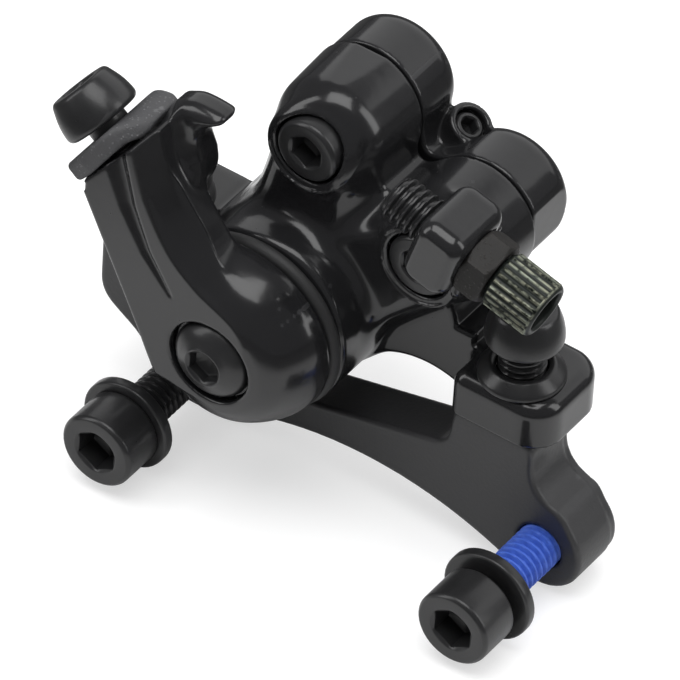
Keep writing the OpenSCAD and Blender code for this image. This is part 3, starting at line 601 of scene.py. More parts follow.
# %% [markdown]
# ## Actuator arm
# The cable pulls this horn round its domed hub. Its front is a flat face with a groove that tapers
# to a point. Past the brow the face slopes back to a second edge, and the layer behind it carries
# the beak that guides the cable. It could be sculpted by hand. Melted layers keep each brow a
# short line of points, so it can be moved to where the photo shows it.

# %% The arm's outlines, counted from its axis
arm_front = low("actuator_arm")[1]
arm_rear = high("actuator_arm")[1]
arm_back = low("dust_seal")[1] - 0.3
seat_low = np.array([-18.9, 18.7])
seat_normal = in_xz(clamp_way)
past_low = seat_low + 2.5 * seat_normal
heel = [(-7.5, -6.0), (0.0, -5.0)]
first_brow = smooth_line([
    (3.9, 4.7), (2.4, 7.3), (-2.0, 10.1), (-5.4, 12.7),
    (-7.7, 15.6), (-9.8, 19.3), (-10.9, 21.9), (-12.8, 28.2)])
second_brow = smooth_line([
    (5.0, 9.0), (-0.9, 12.4), (-4.6, 16.7), (-7.6, 21.2), (-9.4, 24.4), (-10.9, 29.5)])
front_outline = np.vstack([past_low, heel, first_brow])
step_outline = np.vstack([past_low, heel, second_brow])
rear_outline = np.vstack([
    [(-16.4, 22.6), (-11.5, 12.2)],
    smooth_line([
        (-9.2, 11.8), (-8.6, 13.6), (-8.4, 16.4), (-7.3, 19.4), (-7.1, 21.2), (-7.6, 22.8)]),
    [(-9.5, 26.0), (-12.8, 27.6)]])
beak_outline = np.vstack([
    [(-13.0, 26.6), (-13.4, 22.5), (-8.4, 20.4)],
    smooth_line([
        (-7.6, 22.6), (-8.1, 25.2), (-7.2, 27.6), (-5.0, 29.4),
        (-5.3, 30.5), (-9.2, 30.7), (-11.6, 29.7)])])
groove_line = np.array([
    (-15.7, 27.0), (-14.3, 23.0), (-12.6, 18.0), (-11.3, 15.4), (-9.7, 12.3), (-5.9, 7.4)])
hub_profile = smooth_line([
    (6.0, 0.0), (7.6, 0.4), (9.1, 1.4), (10.2, 2.9), (11.1, 4.7), (11.6, 6.2), (11.8, 7.6)], 4)
hub_profile = np.vstack([[(0, 0)], hub_profile, [(11.8, 8.5), (0, 8.5)]]) + (0, arm_front)
print("arm from", arm_front, "to", arm_rear, "brow points:", len(first_brow), len(second_brow))


# %% A groove that tapers to a point
def trough(line, r_start, r_end, steep, u, v):
    """How deep a round-bottomed groove is at each point, negative outside it."""
    depth = -np.inf
    lengths = np.hypot(*np.diff(line, axis=0).T)
    total, gone = lengths.sum(), 0.0
    for (au, av), (bu, bv), length in zip(line, line[1:], lengths):
        t = np.clip(((u - au) * (bu - au) + (v - av) * (bv - av)) / length**2, 0, 1)
        r = r_start + (r_end - r_start) * (gone + t * length) / total
        off = np.hypot(u - au - t * (bu - au), v - av - t * (bv - av))
        depth = np.maximum(depth, steep * (r - off * off / r))
        gone += length
    return depth


# %% Cast the arm
FRONT_DEPTH, STEP_DEPTH, REAR_START, BEAK_START = 7.0, 7.5, 6.2, 6.4
SLOPE, SLOPE_REACH, SLOPE_DROP = 1.1, 4.0, 0.3
GROOVE_WIDE, GROOVE_TIP, GROOVE_STEEP = 2.0, 0.3, 0.55
SEAL_CAVE_R, RECESS_R, RECESS_DEPTH = 12.7, 5.65, 1.6
SPRING_R, SPRING_CORE_R, SPRING_FRONT = 8.8, 5.6, 3.5
SHAFT_HALF = 3.4


def arm_clay(x, y, z):
    u, v = x - axis[0], z - axis[1]
    past_brow = outline_distance(front_outline, u, v)
    front = slab(past_brow, y, arm_front, arm_front + FRONT_DEPTH, 0.6)
    step_face = arm_front + SLOPE_DROP + SLOPE * np.clip(past_brow, 0, SLOPE_REACH)
    past_step = outline_distance(step_outline, u, v)
    step = 0.7 * slab(past_step, y, step_face, arm_front + STEP_DEPTH, 0.5)
    rear = slab(outline_distance(rear_outline, u, v), y, arm_front + REAR_START, arm_rear, 1.2)
    beak = slab(outline_distance(beak_outline, u, v), y, arm_front + BEAK_START, arm_rear, 1.9)
    hub = dome(x, y, z, axis, hub_profile)
    clay = melt(front, step, 0.6)
    clay = melt(clay, hub, 2.0)
    clay = melt(clay, rear, 1.6)
    clay = meet(clay, u * seat_normal[0] + v * seat_normal[1] - seat_low @ seat_normal, 0.5)
    clay = melt(clay, beak, 1.4)
    groove = trough(groove_line, GROOVE_WIDE, GROOVE_TIP, GROOVE_STEEP, u, v)
    clay = carve(clay, y - arm_front - groove, 0.3)
    clay = carve(clay, rod(x, y, z, axis, SEAL_CAVE_R, arm_back, arm_rear + 3.0, 0.1), 0.4)
    recess = rod(x, y, z, axis, RECESS_R, arm_front - 3.0, arm_front + RECESS_DEPTH, 0.1)
    clay = carve(clay, recess, 0.35)
    cave = rod(x, y, z, axis, SPRING_R, arm_front + SPRING_FRONT, arm_front + 12.0, 0.1)
    core = rod(x, y, z, axis, SPRING_CORE_R, arm_front, arm_front + 14.0, 0.1)
    clay = carve(clay, np.maximum(cave, -core), 0.2)
    square_hole = np.maximum(np.abs(u), np.abs(v)) - SHAFT_HALF
    return carve(clay, square_hole, 0.1)


cast("arm_casting", arm_clay, "actuator_arm", paint, 0.25, headroom=0.7)

# %% [markdown]
# ## Outer casting
# The outer half carries everything: the barrel that the arm turns in, two bullet-shaped lobes
# round the body bolts, the flange with its two ears, and the cable stop. All of them flow into
# each other, so the fillets are wide, and the spot faces of the bolts are cut last. Booleans with
# bevels could build it, but they break where three fillets meet; the field has no such corner.

# %% Sizes of the outer casting
split = high("outer_body")[1]
barrel_front = high("dust_seal")[1]
slot_front = 12.6
ear_top = low("dished_washers")[2]
post_top = high("mount_bracket")[2]
post_places = [in_xz(middle(n)) for n in ("caliper_bolt_left", "caliper_bolt_right")]
post_y = middle("caliper_bolt_left")[1]
lobe_front = low("outer_body")[1]
stop_middle, stop_way = in_xz(stop_place), in_xz(cable_way)
lobe_middles = [lobe_up + (0.0, -0.35), lobe_low + (0.3, -0.3)]
lobe_profile = smooth_line([
    (4.8, -0.2), (5.6, 1.4), (6.3, 3.8), (6.9, 7.4), (7.2, 10.6), (7.4, 13.4)], 5)
lobe_profile = np.vstack([[(0, -0.2)], lobe_profile, [(7.4, 15.0), (0, 15.0)]])
COLLAR_R, COLLAR_FRONT = 5.3, 0.2
BARREL_R, FOOT_BORE, SHAFT_BORE = 12.2, 8.6, 6.1
BODY_R, BODY_TAPER, BODY_WAIST = 12.05, 4.55, 5.6
BODY_FRONT, BODY_EDGE = 3.0, 3.0
VALLEY, VALLEY_START, VALLEY_REACH = 5.0, 8.0, 10.0
PARTING_HALF, PARTING_DEPTH = 0.25, 0.9
WEB_R, WEB_FRONT = (8.0, 4.4), (0.5, 2.0)
HOLLOW_FRONT, HOLLOW_TILT = 0.3, 0.45
FLANGE_FRONT, FLANGE_BACK = 5.0, 12.4
ARCH_R, ARCH_IN, ARCH_DOWN = 12.0, 13.5, 12.7
SPOT_FACE, BOLT_BORE, STOP_BORE = 4.5, 2.7, 3.1
POST_BORE, POST_SLOT = 3.2, 0.8
EAR_HALF, EAR_MIDDLE, EAR_DROP = 6.8, 6.2, 6.0
LINK_IN, LINK_MIDDLE, LINK_HALF = 4.6, 8.7, (5.6, 3.7, EAR_DROP)
STOP_HALF, STOP_FOOT = (3.3, 5.4, 4.9), (-0.6, 6.0)
ROTOR_R, ROTOR_AWAY = 81.5, 70.0
POCKET_R, TAB_HALF, TAB_END = 10.5, 3.3, 14.5
POCKET_FRONT, FOOT_FRONT, FOOT_BACK = 9.1, -2.2, 10.0
seen_from = np.array([0.51, 0.86])
flange_left, flange_right = post_places[0][0] + 7.0, post_places[1][0] - 7.2
flange_outline = np.array([
    (flange_left, ear_top), (flange_left, post_top), axis + (-7.0, -6.5), axis + (6.0, -10.5),
    (flange_right, post_top - 6.6), (flange_right, post_top), (flange_right + 4.0, post_top),
    (flange_right + 4.0, ear_top), (flange_right, ear_top), (flange_right, ear_top + 1.3),
    (flange_right - 2.7, ear_top + 1.3), (flange_right - 3.4, ear_top + 3.4),
    axis + (17.0, 10.3), axis + (0.0, 10.3)])
print("split at", split, "ears at", ear_top, "posts at", post_top)


# %% The outline that both halves share
def along_lobe(x, z, lobe):
    """The share of the way from the axis to a lobe, and the distance from that line."""
    way, length = toward(axis, lobe), np.hypot(*(lobe - axis))
    u, v = x - axis[0], z - axis[1]
    t = np.clip((u * way[0] + v * way[1]) / length, 0, 1)
    return t, np.hypot(u - way[0] * t * length, v - way[1] * t * length)


def ease(t):
    t = np.clip(t, 0, 1)
    return t * t * (3 - 2 * t)


def body_flat(x, z):
    """Two waisted spokes, melted in the valley between them."""
    sides = []
    for lobe in lobe_middles:
        t, off = along_lobe(x, z, lobe)
        sides.append(off - (BODY_R - BODY_TAPER * t - BODY_WAIST * t * (1 - t)))
    outward, _ = along_way(x, z, axis, pad_way)
    return melt(*sides, 0.01 + VALLEY * ease((outward - VALLEY_START) / VALLEY_REACH))


def parting_groove(x, y, z):
    return np.maximum(np.abs(y - split) - PARTING_HALF, -PARTING_DEPTH - body_flat(x, z))


# %% Webs, collars, ears and the cable stop
def spoke(x, y, z, lobe):
    """A web from the barrel to a lobe, whose front slopes with it."""
    t, off = along_lobe(x, z, lobe)
    flat = off - (WEB_R[0] + (WEB_R[1] - WEB_R[0]) * t)
    front = WEB_FRONT[0] + (WEB_FRONT[1] - WEB_FRONT[0]) * t
    return round_meet(flat, front - y, 1.6)


def collared(clay, x, y, z, bolt):
    """The lobe hollowed beside the bolt, with a plain collar left round the spot face."""
    from_bolt = np.hypot(x - bolt[0], z - bolt[1])
    rise, _ = along_way(x, z, bolt, seen_from)
    hollow = np.maximum(COLLAR_R - from_bolt, 0.9 * (y - HOLLOW_FRONT - HOLLOW_TILT * rise))
    collar = rod(x, y, z, bolt, COLLAR_R, COLLAR_FRONT, 9.0, 0.35)
    return melt(carve(clay, hollow, 1.2), collar, 1.6)


def ear_clay(x, y, z, place, outward, corner):
    side = (x - place[0]) * outward
    corners = np.where(side > 0, corner, 1.6)
    plan = round_meet(np.abs(side) - EAR_HALF, np.abs(y - EAR_MIDDLE) - EAR_HALF, corners)
    return round_meet(plan, np.abs(z - ear_top + EAR_DROP) - EAR_DROP, 1.8)


def cable_stop_clay(x, y, z):
    along, above = along_way(x, z, stop_middle, stop_way)
    ear = block(along, y - stop_place[1], above, STOP_HALF, 2.1)
    foot = np.array([lobe_low + (-4, 3), lobe_low + (6.0, -1),
                     stop_middle + (1.6, -2.9), stop_middle + (-3.0, 0)])
    return melt(ear, slab(outline_distance(foot, x, z), y, *STOP_FOOT, 1.2), 1.6)


# %% Bores and pockets
def rotor_cut(x, y, z, front, back):
    hub = axis - ROTOR_AWAY * pad_way
    return rod(x, y, z, hub, ROTOR_R, front, back, 0.05)


def pad_pocket(x, y, z, front, back):
    along, aside = along_way(x, z, axis, pad_way)
    tab = np.maximum(np.abs(aside) - TAB_HALF, np.maximum(along, -along - TAB_END))
    return slab(np.minimum(np.hypot(along, aside) - POCKET_R, tab), y, front, back, 0.05)


def outer_cuts(x, y, z):
    cut = rotor_cut(x, y, z, slot_front, split + 8)
    cut = np.minimum(cut, pad_pocket(x, y, z, POCKET_FRONT, split + 2))
    cut = np.minimum(cut, rod(x, y, z, axis, FOOT_BORE, FOOT_FRONT, FOOT_BACK, 0.1))
    cut = np.minimum(cut, rod(x, y, z, axis, SHAFT_BORE, barrel_front - 3, 0.0, 0.1))
    for lobe in (lobe_up, lobe_low):
        for r, front, back in ((SPOT_FACE, lobe_front - 6, 5.0),
                               (COLLAR_R, lobe_front - 6, COLLAR_FRONT),
                               (BOLT_BORE, 0.0, split + 3)):
            cut = np.minimum(cut, rod(x, y, z, lobe, r, front, back, 0.1))
    for place in post_places:
        hole = np.hypot(x - place[0], np.maximum(np.abs(y - post_y) - POST_SLOT, 0)) - POST_BORE
        cut = np.minimum(cut, np.maximum(hole, np.maximum(post_top - 3 - z, z - ear_top - 3)))
    along, above = along_way(x, z, stop_middle, stop_way)
    bore = np.maximum(np.hypot(above, y - stop_place[1]) - STOP_BORE, np.abs(along) - 6.5)
    return np.minimum(cut, bore)


# %% Cast the outer half
def outer_clay(x, y, z):
    barrel = rod(x, y, z, axis, BARREL_R, barrel_front, split + 3, 0.7)
    body = slab(body_flat(x, z) + 0.3, y, BODY_FRONT, split + 4, BODY_EDGE)
    clay = melt(barrel, body, 1.6)
    for lobe in lobe_middles:
        clay = melt(clay, spoke(x, y, z, lobe), 3.0)
        clay = melt(clay, dome(x, y, z, lobe, lobe_profile), 1.8)
    for bolt in (lobe_up, lobe_low):
        clay = collared(clay, x, y, z, bolt)
    arch = np.hypot(x - post_places[1][0] + ARCH_IN, z - post_top + ARCH_DOWN) - ARCH_R
    flange = carve(outline_distance(flange_outline, x, z), arch, 0.5)
    clay = melt(clay, slab(flange, y, FLANGE_FRONT, FLANGE_BACK, 0.8), 1.4)
    link = (x - post_places[0][0] - LINK_IN, y - LINK_MIDDLE, z - ear_top + EAR_DROP)
    link = block(*link, LINK_HALF, 0.4)
    left_ear = melt(ear_clay(x, y, z, post_places[0], -1, 2.2), link, 1.0)
    for ear in (left_ear, ear_clay(x, y, z, post_places[1], 1, 4.2)):
        clay = melt(clay, np.maximum(ear, post_top - z), 1.2)
    clay = melt(clay, cable_stop_clay(x, y, z), 2.5)
    clay = carve(clay, outer_cuts(x, y, z), 0.3)
    clay = carve(clay, parting_groove(x, y, z), 0.3)
    return round_meet(clay, y - split, 0.1)


cast("outer_casting", outer_clay, "outer_body", paint, 0.26)

# %% [markdown]
# ## Inner casting
# The wheel-side half closes the body behind the rotor slot. It shares the outline of the outer
# half, with a crisp rim at the joint and a far edge that is rounded right over. A boss on its back
# holds the pad adjuster, and a small radial boss between the lobes holds the pad's screw. It could
# be a mirror of the outer half; one shared outline keeps the two rims together instead.

# %% Cast the inner half
boss_back = high("inner_body")[1]
inner_back = boss_back - 2.6
bolt_end = high("body_bolt_upper")[1] + 0.1
screw_middle = middle("pad_retaining_screw")
screw_way = toward(axis, in_xz(screw_middle))
screw_top = 24.6
BOSS_R, ADJUSTER_BORE = 10.0, 7.9
SCREW_BOSS_R, SCREW_BORE = 2.9, 2.1
INNER_BOLT_BORE = 2.6
SCREW_ROOT, SCREW_FLOOR = 12.0, 8.2
SLOT_BACK, ADJUSTER_FLOOR = 17.8, 20.0
INNER_POCKET = (16.0, 21.3)
print("inner half from", split, "to", inner_back, "boss to", boss_back)


def inner_clay(x, y, z):
    body = slab(body_flat(x, z), y, split - 6, inner_back, BODY_EDGE)
    boss = rod(x, y, z, axis, BOSS_R, split + 5, boss_back, 0.9)
    clay = melt(body, boss, 1.2)
    out, left = along_way(x, z, axis, screw_way)
    aside = np.hypot(left, y - screw_middle[1])
    ends = np.maximum(out - screw_top, SCREW_ROOT - out)
    clay = melt(clay, round_meet(aside - SCREW_BOSS_R, ends, 0.3), 0.8)
    clay = round_meet(clay, split - y, 0.1)
    clay = carve(clay, parting_groove(x, y, z), 0.3)
    cut = rotor_cut(x, y, z, split - 8, SLOT_BACK)
    cut = np.minimum(cut, pad_pocket(x, y, z, *INNER_POCKET))
    cut = np.minimum(cut, rod(x, y, z, axis, ADJUSTER_BORE, ADJUSTER_FLOOR, boss_back + 3, 0.1))
    for lobe in (lobe_up, lobe_low):
        cut = np.minimum(cut, rod(x, y, z, lobe, INNER_BOLT_BORE, split - 3, bolt_end, 0.1))
    cut = np.minimum(cut, np.maximum(aside - SCREW_BORE, np.maximum(SCREW_FLOOR - out, out - 40)))
    return carve(clay, cut, 0.3)


cast("inner_casting", inner_clay, "inner_body", paint, 0.26)

# %% [markdown]
# ## Bracket
# The bracket is a flat adapter with two feet and two posts. It could be a bevelled copy of the
# solid, but that copy shows the facets of the neck. So its outline is taken from the solid's
# section, drawn again in short soft steps, and the clay rounds its edges as paint does.


# %% Soften a section
def soft_loop(loop, step=0.5, reach=4):
    """The same closed line in short steps, each point pulled to the middle of its neighbours."""
    ends = np.vstack([loop, loop[:1]])
    travel = np.concatenate([[0], np.cumsum(np.hypot(*np.diff(ends, axis=0).T))])
    spots = np.arange(0, travel[-1], step)
    line = np.stack([np.interp(spots, travel, ends[:, way]) for way in (0, 1)], axis=1)
    for _ in range(reach):
        line = 0.5 * line + 0.25 * (np.roll(line, 1, axis=0) + np.roll(line, -1, axis=0))
    return line


# %% Cast the bracket
FRONT_CUT, BAR_CUT = 0.7, 7.8
TAPPED_R, POST_DEPTH = 3.05, 12.5
bracket_loop = soft_loop(section("mount_bracket", FRONT_CUT)[0])
bar_loop = section("mount_bracket", BAR_CUT)
bracket_back = high("mount_bracket")[1]
frame_holes = [in_xz(middle(n)) for n in ("mount_bolt_left", "mount_bolt_right")]
bar_back = 7.2


def bracket_clay(x, y, z):
    flat = outline_distance(bracket_loop, x, z)
    clay = slab(flat, y, 0.0, bracket_back, 0.55)
    ends = np.minimum(*[outline_distance(loop, x, z) for loop in bar_loop[:2]])
    clay = carve(clay, np.maximum(bar_back - y, -ends), 0.8)
    for place in frame_holes:
        clay = carve(clay, rod(x, y, z, place, TAPPED_R, -3, bracket_back + 3, 0.1), 0.5)
    for place in post_places:
        hole = np.hypot(x - place[0], y - post_y) - TAPPED_R
        clay = carve(clay, np.maximum(hole, post_top - POST_DEPTH - z), 0.4)
    return clay


cast("bracket_casting", bracket_clay, "mount_bracket", bracket_paint, 0.32)

# %% [markdown]
# ## Turned pieces
# A screw is made on a lathe, so its mesh is a stack of rings about one line. A ring has a radius
# for each angle, so a round rim, a six-sided socket and a turn of thread can follow each other in
# one closed mesh. A screw modifier and a boolean socket could do it, at the cost of a torn mesh.
# Heights are counted from the seat under the head, and grow along the thread.


# %% Rings
def around(sides):
    return np.arange(sides) * 2 * np.pi / sides


def six_sided(across_flats, sides=48):
    """Radii of a hexagon that is this wide across its flats."""
    return across_flats / 2 / np.cos(around(sides) % (np.pi / 3) - np.pi / 6)


def soften(corners, sides=48, steps=3):
    """Rings along a profile. A corner is (height, radius, reach of its rounding)."""
    places = [np.stack([h + np.zeros(sides), r + np.zeros(sides)]) for h, r, _ in corners]
    rings = []
    for i, (_, _, reach) in enumerate(corners):
        here = places[i]
        if reach == 0:
            rings.append(here)
            continue
        before, after = places[i - 1] - here, places[(i + 1) % len(places)] - here
        start = before * np.minimum(reach / np.maximum(np.hypot(*before), 1e-6), 0.48)
        end = after * np.minimum(reach / np.maximum(np.hypot(*after), 1e-6), 0.48)
        for t in np.linspace(0, 1, steps + 1):
            rings.append(here + (1 - t) ** 2 * start + t * t * end)
    return rings


THREAD_DEPTH = 0.58


def thread_rings(start, end, r, pitch, tip=0.7, sides=48, per_turn=10):
    """A real helix: the crest climbs one pitch a turn, and the last turn is chamfered."""
    rings = []
    depth = THREAD_DEPTH * pitch
    for h in np.append(np.arange(start, end, pitch / per_turn), end):
        crest = np.clip(0.5 + 0.8 * np.cos(2 * np.pi * h / pitch - around(sides)), 0, 1)
        chamfer = r - tip + (end - h)
        rings.append(np.stack([h + np.zeros(sides), np.minimum(r - depth * (1 - crest), chamfer)]))
    return rings


def turned(name, rings, at, way, material, node, hollow=False, sharp=40):
    way = np.array(way, float)
    side = np.cross(way, (0.0, 0.6, 0.8) if abs(way[0]) > 0.5 else (1.0, 0.0, 0.0))
    side /= np.linalg.norm(side)
    up = np.cross(way, side)
    sides = rings[0].shape[1]
    turn = around(sides)
    points = []
    for h, r in rings:
        ring = np.outer(r * np.cos(turn), side) + np.outer(r * np.sin(turn), up)
        points.append(np.array(at) + np.outer(h, way) + ring)
    faces = []
    for i in range(len(rings) if hollow else len(rings) - 1):
        a, b = i * sides, (i + 1) % len(rings) * sides
        faces += [(a + j, a + (j + 1) % sides, b + (j + 1) % sides, b + j) for j in range(sides)]
    if not hollow:
        last = (len(rings) - 1) * sides
        faces += [tuple(range(sides))[::-1], tuple(range(last, last + sides))]
    put(name, np.vstack(points), faces, material, node, sharp)


# %% [markdown]
# The heads differ and the rest is shared. A socket starts at its floor, comes up six flat walls
# and ends in the small countersink that a real hex key socket has.


# %% Screw heads
def socket_corners(top, key, depth, sides=48):
    corner_r = key / 2 / math.cos(math.pi / 6)
    wall = six_sided(key, sides)
    floor_tip, countersink = 0.7, 0.3
    return [(top + depth + floor_tip, 0.3, 0), (top + depth, wall * 0.97, 0.15),
            (top + countersink, wall, 0.1), (top, corner_r + 0.12, 0.1)]


def screw(node, at, way, head, key, depth, thread, length, material):
    """Head corners run from the top rim to the seat."""
    top = head[0][0]
    rings = soften(socket_corners(top, key, depth) + head + [(0.0, thread[0] - 0.1, 0.15)])
    rings += thread_rings(0.15, length, *thread)
    rings.append(np.stack([length + np.zeros(48), rings[-1][1] * 0.3]))
    turned(node + "_look", rings, at, way, material, node)


def cap_head(r, height):
    return [(-height, r - 0.4, 0.15), (-height + 0.4, r, 0.25),
            (-0.25, r, 0.15), (0.0, r - 0.25, 0.1)]


def taper_head(base_r, top_r, height):
    middle_r = 0.35 * top_r + 0.65 * base_r
    return [(-height, top_r - 0.35, 0.15), (-height + 0.3, top_r, 0.3),
            (-height * 0.55, middle_r + 0.1, 1.2), (-0.9, base_r, 0.8),
            (-0.3, base_r - 0.15, 0.3), (0.0, base_r - 0.6, 0.3)]


def button_head(r, height):
    angles = np.radians([32, 42, 52, 62, 72, 80, 86])
    bow = [(-height * math.cos(a), r * math.sin(a), 0.0) for a in angles]
    return [(-height * 0.9, r * 0.5, 0.1)] + bow + [(0.0, r, 0.1), (0.0, r - 0.4, 0.1)]


# %% Frame bolts, body bolts and caliper bolts
# A thread is its crest's radius and its pitch.
M6, M5, M4 = (2.95, 1.0), (2.45, 0.8), (1.95, 0.7)
FRAME_HEAD, BODY_HEAD, TAPER_HEAD, BUTTON_HEAD = 6.0, 5.0, 4.9, 2.5
LOCK_GAP = 4.2
lock_start, lock_end = low("mount_washers")[1] + LOCK_GAP, high("mount_bolt_right")[1]
locked_steel = thread_locked_steel(lock_start, lock_end)
for node, finish in (("mount_bolt_left", steel), ("mount_bolt_right", locked_steel)):
    seat = (middle(node)[0], low(node)[1] + FRAME_HEAD, middle(node)[2])
    screw(node, seat, (0, 1, 0), cap_head(5.0, FRAME_HEAD), key=5.0, depth=3.2,
          thread=M6, length=high(node)[1] - seat[1], material=finish)
for node in ("body_bolt_upper", "body_bolt_lower"):
    seat = (middle(node)[0], low(node)[1] + BODY_HEAD, middle(node)[2])
    screw(node, seat, (0, 1, 0), cap_head(4.2, BODY_HEAD), key=4.0, depth=2.6,
          thread=M5, length=high(node)[1] - seat[1], material=steel)
for node in ("caliper_bolt_left", "caliper_bolt_right"):
    seat = (middle(node)[0], middle(node)[1], high(node)[2] - TAPER_HEAD)
    screw(node, seat, (0, 0, -1), taper_head(4.9, 3.9, TAPER_HEAD), key=4.0, depth=3.0,
          thread=M6, length=seat[2] - low(node)[2], material=steel)

# %% Arm bolt and clamp bolt
seat = (axis[0], low("arm_bolt")[1] + BUTTON_HEAD, axis[1])
screw("arm_bolt", seat, (0, 1, 0), button_head(5.2, BUTTON_HEAD), key=4.0, depth=1.5,
      thread=M5, length=high("arm_bolt")[1] - seat[1], material=steel)
PLATE, NECK, NECK_R = 2.5, 1.5, 2.6
CLAMP_HEAD, CLAMP_LENGTH = 5.2, 9.2
head_seat = clamp_place + clamp_way * (PLATE + NECK)
clamp_head = taper_head(5.05, 4.05, CLAMP_HEAD) + [(0.0, NECK_R, 0.1), (NECK, NECK_R, 0.1)]
clamp_rings = soften(socket_corners(-CLAMP_HEAD, 4.0, 3.0) + clamp_head)
clamp_rings += thread_rings(NECK + 0.1, CLAMP_LENGTH, *M5)
turned("cable_clamp_bolt_look", clamp_rings, head_seat, -clamp_way, steel, "cable_clamp_bolt")

# %% [markdown]
# ## Cable clamp plate
# The plate is a rough stamping that pinches the cable against the arm's seat. Its far end rises a
# little and curls over. It could be a bent sheet; as clay, in the frame of the seat (along it,
# across it and out of it), the bend is one line and the rounded edges come with it.


# %% Clamp plate
seat_way = np.array([seat_normal[1], -seat_normal[0]])
plate_outline = np.vstack([
    [(-6.0, -4.0), (-5.2, -4.7)],
    smooth_line([(-2.0, -5.1), (3.0, -4.2), (5.6, -1.4), (6.7, 2.2), (6.6, 5.2)], 4),
    [(5.8, 5.9), (1.2, 6.1), (-5.4, 2.0), (-6.0, 1.2)]])
PLATE_RISE, RISE_START, RISE_REACH = 0.7, -4.5, 9.0
CURL, CURL_START, PLATE_HOLE = 0.22, 3.4, 2.7


def plate_clay(x, y, z):
    along, out = along_way(x, z, in_xz(clamp_place), seat_way)
    rise = PLATE_RISE * ease((along - RISE_START) / RISE_REACH)
    bend = rise - CURL * np.maximum(along - CURL_START, 0) ** 2
    bottom, top = np.maximum(bend, 0.02), PLATE + bend
    flat = outline_distance(plate_outline, along, y - clamp_place[1])
    plate = round_meet(flat, np.abs(out - (bottom + top) / 2) - (top - bottom) / 2, 0.6)
    from_bolt = np.hypot(along, y - clamp_place[1])
    return carve(plate, from_bolt - PLATE_HOLE, 0.2)


cast("cable_clamp_plate_look", plate_clay, "cable_clamp_plate", stamped, 0.25)

# %% [markdown]
# ## The pad's screw
# A headless screw runs down the small boss between the lobes, and its plain tip keeps the pads in.
# It is turned like the bolts; with no seat to count from, its heights start at the actuator axis.

# %% The pad's retaining screw
screw_start = np.array([axis[0], screw_middle[1], axis[1]])
screw_line = np.array([screw_way[0], 0.0, screw_way[1]])
SCREW_TOP, SCREW_BODY, SCREW_TIP = screw_top - 0.5, 12.1, 8.6
pin_top = [(-SCREW_TOP, 1.6, 0.1), (-SCREW_TOP + 0.35, 1.9, 0.1)]
pin_tip = [(-SCREW_BODY, 1.2, 0), (-SCREW_TIP - 0.3, 1.2, 0.1), (-SCREW_TIP, 0.9, 0),
           (-SCREW_TIP, 0.2, 0)]
pin_rings = soften(socket_corners(-SCREW_TOP, 2.0, 1.6) + pin_top)
pin_rings += thread_rings(-SCREW_TOP + 0.4, -SCREW_BODY, *M4) + soften(pin_tip)
turned("pad_retaining_screw_look", pin_rings, screw_start, -screw_line, steel,
       "pad_retaining_screw")

# %% [markdown]
# ## Washers, seal and nut
# These have a hole, so their rings join up with themselves, and no boolean is needed. The nut's
# corners are turned off at both ends by a cone, which leaves the curved brow of a real nut.


# %% Hollow turned pieces
def washer(name, node, at, way, corners, material):
    turned(name, soften(corners), at, way, material, node, hollow=True)


WASHER_T, HOLE_R = 1.5, 3.2
washer_r = high("mount_washers")[2] - 0.01
starts = low("mount_washers")[1], high("mount_washers")[1] - WASHER_T
flat_washer = [(0.0, HOLE_R, 0.1), (0.0, washer_r, 0.35),
               (WASHER_T, washer_r, 0.25), (WASHER_T, HOLE_R, 0.1)]
for side, place, start in zip(("left", "right"), frame_holes, starts):
    washer("mount_washer_" + side, "mount_washers", (place[0], start, place[1]), (0, 1, 0),
           flat_washer, steel)
DISH_H, DISH_R = 2.0, 5.4
dished = [(0.0, HOLE_R, 0.1), (0.0, DISH_R, 0.2), (DISH_H * 0.3, DISH_R, 0.3),
          (DISH_H * 0.75, DISH_R - 0.9, 0.6), (DISH_H, HOLE_R + 0.7, 0.3),
          (DISH_H * 0.85, HOLE_R, 0.1)]
for side, place in zip(("left", "right"), post_places):
    washer("dished_washer_" + side, "dished_washers", (place[0], post_y, ear_top), (0, 0, 1),
           dished, steel)
SEAL_T, SEAL_HOLE_R = 1.6, 9.25
seal_start = (axis[0], barrel_front - SEAL_T, axis[1])
seal = [(0.0, SEAL_HOLE_R, 0.2), (0.0, 11.7, 0.5), (SEAL_T * 0.5, 12.28, 0.5),
        (SEAL_T, 12.1, 0.4), (SEAL_T, SEAL_HOLE_R, 0.2)]
washer("dust_seal_look", "dust_seal", seal_start, (0, 1, 0), seal, rubber)

# %% Lock nut
NUT_START, NUT_LEN, NUT_FLATS, NUT_BORE_R = 3.25, 3.6, 7.8, 3.05
nut_wall = six_sided(NUT_FLATS)
rise = np.array([0.0, 0.12, 0.25, 0.4, 0.6])
cone = [(h, np.minimum(nut_wall, NUT_FLATS / 2 - 0.05 + 1.4 * h), 0) for h in rise]
far_cone = [(NUT_LEN - h, r, 0) for h, r, _ in cone[::-1]]
nut = [(0.0, NUT_BORE_R, 0)] + cone + far_cone + [(NUT_LEN, NUT_BORE_R, 0)]
nut_start = stop_place + cable_way * NUT_START
turned("adjuster_lock_nut_look", soften(nut), nut_start, cable_way, nut_steel,
       "adjuster_lock_nut", hollow=True, sharp=28)

# %% [markdown]
# ## Barrel adjuster
# The cyclist turns this by hand, so its head is knurled: straight ridges pressed into plated
# alloy, with a plain turned rim at each end. Its far end is the socket for the cable housing. A
# bump map could fake the ridges, but not their outline against the floor, so they are rings too.

